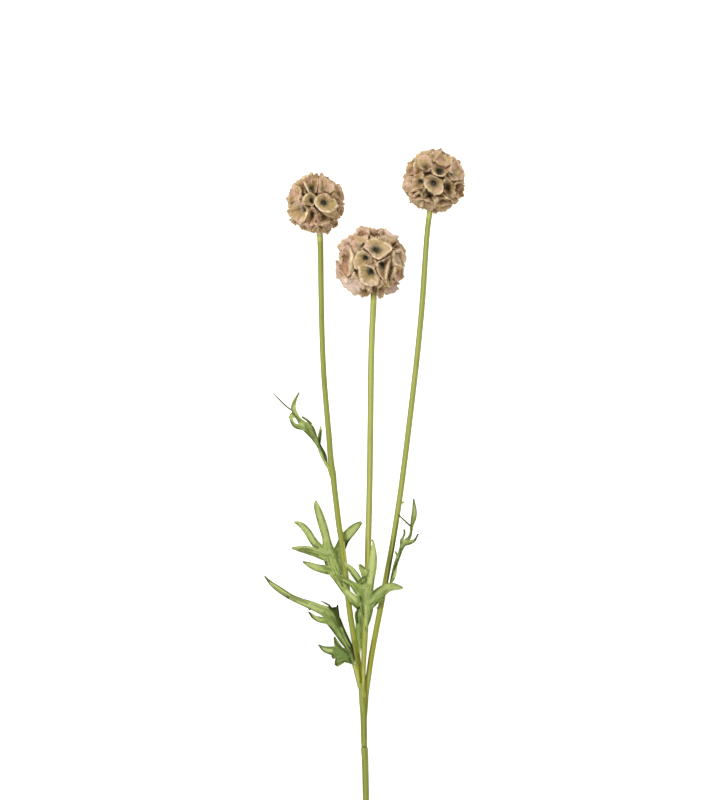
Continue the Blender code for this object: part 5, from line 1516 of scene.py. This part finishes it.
    def outer(self, theta, out, down, below):
        rim = self.rim_angle(theta)
        angle = (rim + out * (self.wall_angle(theta) - rim))[:, None]
        distance = self.rim_distance(theta) * (1.0 - down) + WALL_DEPTH * self.radius * down - below
        return self.around(theta, distance[:, None], angle, self.way)

    def root(self, theta, share, depth):
        return self.around(theta, depth * self.radius, (share * self.wall_angle(theta))[:, None], self.way)


def seen_places(head, pixels, distances):
    """Points, counted from the head's centre, at these distances from it and seen at these pixels."""
    centre = np.array(HEAD_CENTRE[head])
    flat = (np.array(pixels) - PIXEL_ORIGIN) * (1.0, -1.0) * MM_PER_PIXEL - (CAMERA_X, CAMERA_Y)
    height = np.full((len(flat), 1), centre[2])
    for closer in range(3):
        share = (CAMERA_Z - centre[2] - height) / (CAMERA_Z - VIEW_PLANE)
        placed = on_ball(flat * share + (CAMERA_X, CAMERA_Y) - centre[:2], distances)
        height = placed[:, 2:]
    return placed


def on_ball(places, distances):
    """Points on the front of a ball seen at these places, kept a little in front of its outline."""
    least = (OUTLINE_MARGIN * distances) ** 2
    return np.column_stack([places, np.sqrt(np.maximum(distances ** 2 - (places ** 2).sum(axis=1), least))])


def climb_at(share):
    shares, climbs = zip(*INNER_PROFILE)
    return float(np.interp(share, shares, climbs))


def cup_rings(cup, theta):
    """A cup's rings from the eye over the rim to the root, each with its place on the cup from 0 to 2."""
    rings = [(cup.inner(theta, share, climb), share) for share, climb in INNER_PROFILE]
    rings += [(cup.outer(theta, out, down, below), at) for out, down, below, at in OUTER_PROFILE]
    rings += [(cup.root(theta, share, depth), 2.0) for share, depth in ROOT_PROFILE]
    return rings


def ring_faces(rings, sides):
    return [(low + k, low + (k + 1) % sides, low + sides + (k + 1) % sides, low + sides + k)
            for low in range(0, (rings - 1) * sides, sides) for k in range(sides)]


def fan(start, sides, tip):
    return [(start + k, start + (k + 1) % sides, tip) for k in range(sides)]


class Parts:
    """Points, faces and named values that several closed shapes add up to."""

    def __init__(self, *names):
        self.points = []
        self.faces = []
        self.values = {name: [] for name in names}
        self.count = 0

    def add(self, points, faces, **values):
        """Faces count from 0 in these points."""
        self.faces += [tuple(self.count + k for k in face) for face in faces]
        self.points.append(np.asarray(points, float))
        self.count += len(points)
        for name, these in values.items():
            self.values[name].append(these)

    def mesh(self, name):
        made = new_mesh(name, np.vstack(self.points), self.faces)
        for key, these in self.values.items():
            joined = np.concatenate(these)
            (add_floats if joined.ndim == 1 else add_vectors)(made, key, joined)
        return made


def crumple_waves(fine):
    """Waves in random directions that together crumple a head's membranes."""
    waves = []
    for spacing, height in CRUMPLE:
        for k in range(CRUMPLE_WAVES):
            way = np.array([fine.gauss(0.0, 1.0) for axis in range(3)])
            waves.append((way / np.linalg.norm(way) * math.tau / spacing, fine.uniform(0.0, math.tau),
                          height / CRUMPLE_SUM))
    return waves


def crumpled(points, waves, share):
    """Points moved in or out from the head's centre by the waves, by a share of their full height."""
    heights = sum(height * np.sin(points @ way + phase) for way, phase, height in waves)
    return points * (1.0 + share * heights / np.linalg.norm(points, axis=1))[:, None]


def add_cup(parts, cup, centre, waves, paleness, tints):
    """A cup's closed shell. Its crumples fade out between places 0.7 and 0.2, towards the eye."""
    sides = CUP_SEGMENTS if cup.drawn_rim else BACK_SEGMENTS
    theta = turns(sides)
    rings = cup_rings(cup, theta)
    eye = rings[0][0].mean(axis=0) * EYE_SINK
    root = rings[-1][0].mean(axis=0)
    place = np.concatenate([np.full(sides, at) for ring, at in rings] + [[0.0, 2.0]])
    points = np.vstack([ring for ring, at in rings] + [eye[None], root[None]])
    points = crumpled(points, waves, np.clip(2.0 * place - 0.4, 0.0, 1.0)) + centre
    points[:, 2] = np.maximum(points[:, 2], 0.0)
    count = len(rings) * sides
    faces = ring_faces(len(rings), sides)
    faces += [face[::-1] for face in fan(0, sides, count)]
    faces += fan(count - sides, sides, count + 1)
    around = np.stack([np.cos(theta), np.sin(theta), np.full(sides, cup.seed)], axis=1)
    spoke = np.vstack([around] * len(rings) + [[[0.0, 0.0, cup.seed]] * 2])
    tone = np.array(cup.tone) + (0.0, 0.0, paleness)
    shares = tints(points) if cup.drawn_rim else np.zeros((count + 2, len(HEAD_KINDS)))
    parts.add(points, faces, ring=place, spoke=spoke, tone=np.tile(tone, (count + 2, 1)),
              eye=np.full(count + 2, cup.eye), **dict(zip(HEAD_KINDS, shares.T)))


def add_core(parts, centre, radius, fine):
    """The bumpy receptacle between the cups' roots."""
    body = bmesh.new()
    bmesh.ops.create_icosphere(body, subdivisions=4, radius=1.0)
    ways = np.array([v.co[:] for v in body.verts])
    faces = [tuple(v.index for v in face.verts) for face in body.faces]
    body.free()
    bumps = sum(np.sin(ways @ np.array([fine.uniform(-BUMPINESS, BUMPINESS) for axis in range(3)]) + k)
                for k in range(6))
    points = centre + ways * (CORE_RADIUS * radius * (1.0 + BUMP_SHARE * bumps))[:, None]
    count = len(points)
    bare = {kind: np.zeros(count) for kind in ("eye", *HEAD_KINDS)}
    # place 2 gives the core the painted shade of the gaps' bottoms
    parts.add(points, faces, ring=np.full(count, 2.0), spoke=ways, tone=np.full((count, 3), 0.3), **bare)


def rod(path, sides):
    """A round closed rod through a path of x, y, z and radius: its points and faces."""
    way = np.gradient(path[:, :3], axis=0)
    way /= np.linalg.norm(way, axis=1)[:, None]
    side = np.cross(way, (0.0, 0.0, 1.0) if abs(way[0][2]) < 0.8 else (1.0, 0.0, 0.0))
    side /= np.linalg.norm(side, axis=1)[:, None]
    up = np.cross(side, way)
    angles = turns(sides)
    rings = [place[:3] + place[3] * (np.outer(np.cos(angles), s) + np.outer(np.sin(angles), u))
             for place, s, u in zip(path, side, up)]
    last = (len(path) - 1) * sides
    faces = ring_faces(len(path), sides) + [tuple(range(sides))[::-1], tuple(range(last, last + sides))]
    return np.vstack(rings), faces


def add_bristles(parts, cup, centre):
    """The calyx in a cup's throat: a dark knob and five bristles spread over the wall."""
    theta = turns(KNOB_SIDES)
    rows = [cup.inner(theta, share, climb) for share, climb in KNOB_PROFILE]
    points = np.vstack(rows + [rows[-1].mean(axis=0)[None]]) + centre
    top = len(points) - 1
    faces = ring_faces(len(rows), KNOB_SIDES) + fan(top - KNOB_SIDES, KNOB_SIDES, top)
    parts.add(points, faces + [tuple(range(KNOB_SIDES))[::-1]])
    for k in range(BRISTLES):
        angle = np.array([cup.turn + math.tau * k / BRISTLES])
        path = [centre + cup.inner(angle, share, climb_at(share) + BRISTLE_HEIGHT)[0]
                for share in np.linspace(BRISTLE_START, cup.star, len(BRISTLE_RADII))]
        parts.add(*rod(np.column_stack([path, BRISTLE_RADII]), BRISTLE_SIDES))


def head_cups(name, label, draw, fine):
    """A head's cups: those of the solids' rule, and small ones between them, with the front ones drawn."""
    centre = np.array(HEAD_CENTRE[name])
    stem_way = stations(dict(read_rows(STEMS))[label])[-3, :3] - centre
    stem_way /= np.linalg.norm(stem_way)
    ways, sizes = cup_directions(name, stem_way, draw)
    cups = [Cup(index, ways, sizes, HEAD_RADIUS[name], draw, fine) for index in range(len(ways))]
    for index, (word, numbers) in enumerate(read_rows(DRAWN_CUPS[name])):
        if index >= len(FRONT_CUPS[name]):
            cups.append(Cup(0, ways, sizes, HEAD_RADIUS[name], fine, fine))
        drawn = cups[index if index < len(FRONT_CUPS[name]) else -1]
        drawn.draw_rim(name, numbers)
        drawn.eye = OPEN_EYES[name].get(index, COVERED_EYE)
    for cup in cups:
        cup.meet(cups)
    return cups


def build_head(name, membrane, dark):
    label = name.removeprefix("head_")
    radius = HEAD_RADIUS[name]
    centre = np.array(HEAD_CENTRE[name])
    fine = random.Random(name + " fine")
    cups = head_cups(name, label, random.Random(name), fine)
    waves = crumple_waves(fine)
    marks = read_marks(HEAD_MARKS[name])

    def tints(points):
        """The head's tints at these points, on its front alone."""
        front = points[:, 2:] > centre[2] - FRONT_DEPTH * radius
        return mark_shares(photo_pixels(points), marks, HEAD_KINDS) * front

    shells = Parts("ring", "spoke", "tone", "eye", *HEAD_KINDS)
    stars = Parts()
    for cup in cups:
        add_cup(shells, cup, centre, waves, HEAD_PALENESS[name], tints)
        if cup.eye > BRISTLED_EYE:
            add_bristles(stars, cup, centre)
    add_core(shells, centre, radius, fine)
    place_piece("cups_" + label, shells.mesh("cups_" + label), membrane, "seed_head", name)
    stars_mesh = stars.mesh("bristles_" + label)
    face_outwards(stars_mesh)
    place_piece("bristles_" + label, stars_mesh, dark, "seed_head")


def read_marks(text):
    """Marks from text: kind, half width, strength and the stroke's points."""
    return [(kind, *numbers[:2], np.reshape(numbers[2:], (-1, 2))) for kind, numbers in read_rows(text)]


def photo_pixels(points):
    """Where points in millimetres are seen in the photo."""
    share = (CAMERA_Z - VIEW_PLANE) / (CAMERA_Z - points[:, 2:])
    seen = (points[:, :2] - (CAMERA_X, CAMERA_Y)) * share + (CAMERA_X, CAMERA_Y)
    return seen * (1.0, -1.0) / MM_PER_PIXEL + PIXEL_ORIGIN


def mark_shares(pixels, marks, kinds):
    """How strongly the marks of each kind cover each point. A stroke is full up to half of its half width,
    and fades out at one and a half of it."""
    shares = np.zeros((len(pixels), len(kinds)))
    for kind, half_width, strength, line in marks:
        nearest = np.full(len(pixels), FAR)
        for a, b in zip(line, line[1:]):
            share = np.clip((pixels - a) @ (b - a) / ((b - a) @ (b - a)), 0.0, 1.0)
            nearest = np.minimum(nearest, np.linalg.norm(pixels - a - share[:, None] * (b - a), axis=1))
        cover = np.clip(1.5 - nearest / half_width, 0.0, 1.0)
        column = kinds.index(kind)
        shares[:, column] = np.maximum(shares[:, column], strength * cover * cover * (3.0 - 2.0 * cover))
    return shares


def add_marks(mesh, points, text, tints):
    """Writes how strongly the marks of each kind cover the mesh's points."""
    kinds = [kind for kind, tint in tints]
    shares = mark_shares(photo_pixels(points), read_marks(text), kinds)
    for kind, share in zip(kinds, shares.T):
        add_floats(mesh, kind, share)


def nearest_branch(points, branches):
    """For each point, which branch's surface is nearest, and its offset from that branch's middle line."""
    best = np.full(len(points), FAR)
    offset = np.zeros((len(points), 3))
    which = np.zeros(len(points), int)
    for index, branch in enumerate(branches):
        path = catmull_rom(branch, STEM_STEPS)
        for a, b in zip(path, path[1:]):
            line = b[:3] - a[:3]
            share = np.clip((points - a[:3]) @ line / (line @ line), 0.0, 1.0)
            away = points - a[:3] - share[:, None] * line
            miss = np.abs(np.linalg.norm(away, axis=1) - (a[3] + share * (b[3] - a[3])))
            nearer = miss < best
            best[nearer] = miss[nearer]
            offset[nearer] = away[nearer]
            which[nearer] = index
    return which, offset


def fused_mesh(branches):
    """The union of a rod through each branch, as one mesh."""
    grown = bpy.data.collections.new("grown")
    bpy.context.scene.collection.children.link(grown)
    rods = []
    for index, branch in enumerate(branches):
        mesh = new_mesh(f"rod_{index}", *rod(catmull_rom(branch, STEM_STEPS), STEM_SIDES))
        face_outwards(mesh)
        rods.append(bpy.data.objects.new(f"rod_{index}", mesh))
        (grown if index else bpy.context.scene.collection).objects.link(rods[-1])
    step = rods[0].modifiers.new("join", "BOOLEAN")
    step.operation = "UNION"
    step.operand_type = "COLLECTION"
    step.collection = grown
    step.solver = "MANIFOLD"
    mesh = evaluated_mesh(rods[0])
    for thing in rods:
        bpy.data.objects.remove(thing)
    bpy.data.collections.remove(grown)
    return mesh


def build_stem(look):
    """The main stem and its branches fused, with the direction round them kept for the streaks, the grooved
    strip and the painted shade on the stalks' sides.
    """
    branches = [stations(numbers) + (0.0, 0.0, 0.0, SWELL) for word, numbers in read_rows(STEMS)]
    mesh = fused_mesh(branches)
    mesh.name = "stalk"
    points = np.array([v.co[:] for v in mesh.vertices]) / MM
    for vertex in mesh.vertices:
        vertex.co.z = max(vertex.co.z, 0.0)
    which, offset = nearest_branch(points, branches)
    angle = np.arctan2(offset[:, 2], offset[:, 0])
    add_vectors(mesh, "around", np.stack([np.cos(angle), np.sin(angle), points[:, 1]], axis=1))
    add_floats(mesh, "fresh", np.array(FRESHNESS)[which])
    add_marks(mesh, points, STEM_MARKS, STEM_TINTS)
    place_piece("stalk", mesh, look, "stem", "stem")
    mesh.set_sharp_from_angle(angle=math.radians(STEM_SHARP))


def smooth_lobe(lobe):
    """A lobe's midrib in small steps, drawn out to a narrow, rounded tip."""
    path = catmull_rom(lobe, LOBE_STEPS)
    path[:, 3] = np.maximum(path[:, 3], TIP_WIDTH)
    if lobe[-1, 3] < TIP_WIDTH:
        way = path[-1][:3] - path[-2][:3]
        tip = path[-1].copy()
        tip[:3] += way / np.linalg.norm(way) * TIP_LENGTH
        tip[3] = 0.5 * TIP_WIDTH
        path = np.vstack([path, tip])
    return path


def lobe_sides(path):
    """The points right and left of a lobe's midrib, on the blade's edges."""
    way = np.gradient(path[:, :2], axis=0)
    way /= np.linalg.norm(way, axis=1)[:, None]
    side = np.stack([way[:, 1], -way[:, 0]], axis=1) * path[:, 3:] / 2.0
    return path[:, :2] + side, path[:, :2] - side


def rib_distances(points, paths):
    """For points of a blade: gap to the nearest midrib, depth in from the edge, height, way along the lobe,
    and the place among the lobe's veins: across, along and which lobe."""
    gap = np.full(len(points), FAR)
    depth = np.full(len(points), -FAR)
    along = np.zeros(len(points))
    weights = np.zeros(len(points))
    heights = np.zeros(len(points))
    veins = np.zeros((len(points), 3))
    for lobe, path in enumerate(paths):
        length = 0.0
        for k, (a, b) in enumerate(zip(path, path[1:])):
            line = b[:2] - a[:2]
            share = np.clip((points - a[:2]) @ line / max(line @ line, TINY), 0.0, 1.0)
            away = np.linalg.norm(points - a[:2] - share[:, None] * line, axis=1)
            inset = (a[3] + share * (b[3] - a[3])) / 2.0 - away
            weight = math.sqrt(line @ line) / (away ** 2 + RIB_BLUR) ** 2
            weights += weight
            heights += weight * (a[2] + share * (b[2] - a[2]))
            gap = np.minimum(gap, away)
            deeper = inset > depth
            depth[deeper] = inset[deeper]
            along[deeper] = ((k + share) / (len(path) - 1))[deeper]
            across = (points - a[:2]) @ (line[1], -line[0])
            reached = length + share * math.sqrt(line @ line)
            place = np.column_stack([np.sign(across) * away, reached, np.full(len(points), float(lobe))])
            veins[deeper] = place[deeper]
            length += math.sqrt(line @ line)
    return gap, depth, heights / weights, along, veins


def inner_points(paths):
    """A grid of points well inside the blade, which keeps its triangles even."""
    corners = np.vstack([path[:, :2] for path in paths])
    low, high = corners.min(axis=0) - GRID_MARGIN, corners.max(axis=0) + GRID_MARGIN
    xs = np.arange(low[0], high[0], LEAF_STEP)
    ys = np.arange(low[1], high[1], LEAF_STEP * GRID_ROWS)
    grid = np.array([(x + (row % 2) * LEAF_STEP / 2, y) for row, y in enumerate(ys) for x in xs])
    gap, depth, height, along, veins = rib_distances(grid, paths)
    return grid[(depth > POINT_GAP) & (gap > POINT_GAP)]


def blade_triangles(paths):
    """Flat points and triangles of a blade made of these lobes."""
    points, ribs, strips = [], [], []
    for path in paths:
        right, left = lobe_sides(path)
        first = len(points)
        count = len(path)
        points += [*right, *left, *path[:, :2]]
        for k in range(count - 1):
            strips.append([first + k, first + k + 1, first + count + k + 1, first + count + k])
            ribs.append((first + 2 * count + k, first + 2 * count + k + 1))
    points += list(inner_points(paths))
    flat, edges, faces, _, _, owners = delaunay_2d_cdt([Vector(p) for p in points], ribs, strips, 1, MERGED)
    return np.array([p[:] for p in flat]), [tuple(face) for face, owner in zip(faces, owners) if owner]


def build_leaf(name, look):
    """Blade of fine triangles, folded along its midribs, with veins, edges and tips marked for the look."""
    rows = [(word, stations(numbers)) for word, numbers in read_rows(LEAVES[name])]
    lobes = [row for word, row in rows if word == "lobe"]
    lobes[0] = np.vstack([rows[0][1], lobes[0]])
    paths = [smooth_lobe(lobe) for lobe in lobes]
    where, kept = blade_triangles(paths)
    gap, depth, height, along, veins = rib_distances(where, paths)
    rim = np.clip(1.0 - depth / CURL_WIDTH, 0.0, 1.0)
    rise = height + FOLD * (np.sqrt(gap ** 2 + FOLD_SQUARE) - math.sqrt(FOLD_SQUARE)) - CURL * rim ** 2
    mesh = new_mesh(name + "_blade", np.column_stack([where, rise]), kept)
    add_floats(mesh, "rib", gap)
    add_floats(mesh, "edge", np.maximum(depth, 0.0))
    add_floats(mesh, "along", along)
    add_vectors(mesh, "veins", veins)
    add_marks(mesh, np.column_stack([where, rise]), LEAF_MARKS[name], LEAF_TINTS)
    clean_sheet(mesh)
    blade = new_object(name + "_sheet", mesh)
    shell = blade.modifiers.new("thickness", "SOLIDIFY")
    shell.thickness = BLADE * MM
    shell.offset = 0.0
    made = evaluated_mesh(blade)
    bpy.data.objects.remove(blade)
    add_hairs(made, [row for word, row in rows if word == "hair"])
    made.name = name + "_blade"
    place_piece(name + "_blade", made, look, "leaf", name)
    made.set_sharp_from_angle(angle=math.radians(LEAF_SHARP))


def clean_sheet(mesh):
    body = bmesh.new()
    body.from_mesh(mesh)
    bmesh.ops.delete(body, geom=[v for v in body.verts if not v.link_faces], context="VERTS")
    bmesh.ops.remove_doubles(body, verts=body.verts, dist=CLEAN_GAP * MM)
    bmesh.ops.recalc_face_normals(body, faces=body.faces)
    body.to_mesh(mesh)
    body.free()


def add_hairs(mesh, hairs):
    """Adds a leaf's hair-thin tips to its mesh, dark towards their ends."""
    if not hairs:
        return
    body = bmesh.new()
    body.from_mesh(mesh)
    layers = {key: body.verts.layers.float[key] for key in ("rib", "edge", "along", "dark")}
    for hair in hairs:
        path = catmull_rom(hair, HAIR_STEPS)
        points, faces = rod(path, HAIR_SIDES)
        made = [body.verts.new(Vector(p) * MM) for p in points]
        for index, vertex in enumerate(made):
            along = HAIR_ALONG + (1.0 - HAIR_ALONG) * (index // HAIR_SIDES) / (len(path) - 1)
            for key, value in {**HAIR_VALUES, "along": along}.items():
                vertex[layers[key]] = value
        for face in faces:
            body.faces.new([made[k] for k in face])
    bmesh.ops.recalc_face_normals(body, faces=body.faces)
    body.to_mesh(mesh)
    body.free()


def build_floor():
    bpy.ops.mesh.primitive_plane_add(size=FLOOR_SIZE, location=(0.0, 0.0, -FLOOR_GAP * MM))
    floor = bpy.context.object
    floor.name = "floor"
    look = Look("pale_floor", 0.9, 0.1)
    look.put(look.shader.inputs["Base Color"], FLOOR_COLOUR)
    look.put(look.shader.inputs["Emission Color"], WHITE)
    look.put(look.shader.inputs["Emission Strength"], FLOOR_GLOW)
    floor.data.materials.append(look.material)


def build_lights():
    scene = bpy.context.scene
    scene.world = bpy.data.worlds.new("studio")
    scene.world.use_nodes = True
    background = scene.world.node_tree.nodes["Background"]
    background.inputs["Color"].default_value = (*WHITE, 1.0)
    background.inputs["Strength"].default_value = WORLD_STRENGTH
    for name, place, size, power in LIGHTS:
        data = bpy.data.lights.new(name, "AREA")
        data.shape = "DISK"
        data.size = size
        data.energy = power
        lamp = new_object(name, data)
        lamp.location = place
        lamp.rotation_euler = (Vector(LIGHT_AIM) - Vector(place)).to_track_quat("-Z", "Y").to_euler()
    scene.view_settings.view_transform = "Standard"
    scene.view_settings.look = "None"


def build_camera():
    """Looks straight down; its lens gives the photo's scale at the spray's middle height."""
    data = bpy.data.cameras.new("camera")
    data.sensor_width = SENSOR
    data.lens = SENSOR * (CAMERA_Z - VIEW_PLANE) / (PHOTO_HEIGHT * MM_PER_PIXEL)
    data.clip_end = CLIP_END
    camera = new_object("camera", data)
    camera.location = (CAMERA_X * MM, CAMERA_Y * MM, CAMERA_Z * MM)
    bpy.context.scene.camera = camera


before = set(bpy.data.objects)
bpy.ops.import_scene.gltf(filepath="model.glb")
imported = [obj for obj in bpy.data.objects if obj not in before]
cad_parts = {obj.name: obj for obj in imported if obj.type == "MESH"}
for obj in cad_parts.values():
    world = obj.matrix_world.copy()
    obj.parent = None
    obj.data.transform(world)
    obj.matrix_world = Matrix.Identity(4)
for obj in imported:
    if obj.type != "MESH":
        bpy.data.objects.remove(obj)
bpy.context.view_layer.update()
build_camera()
build_lights()
build_floor()
membrane = cup_look()
dark = bristle_look()
for head_name in HEAD_RADIUS:
    build_head(head_name, membrane, dark)
build_stem(stem_look())
for leaf_name in LEAVES:
    build_leaf(leaf_name, leaf_look(leaf_name + "_green", LEAF_SHADE[leaf_name]))
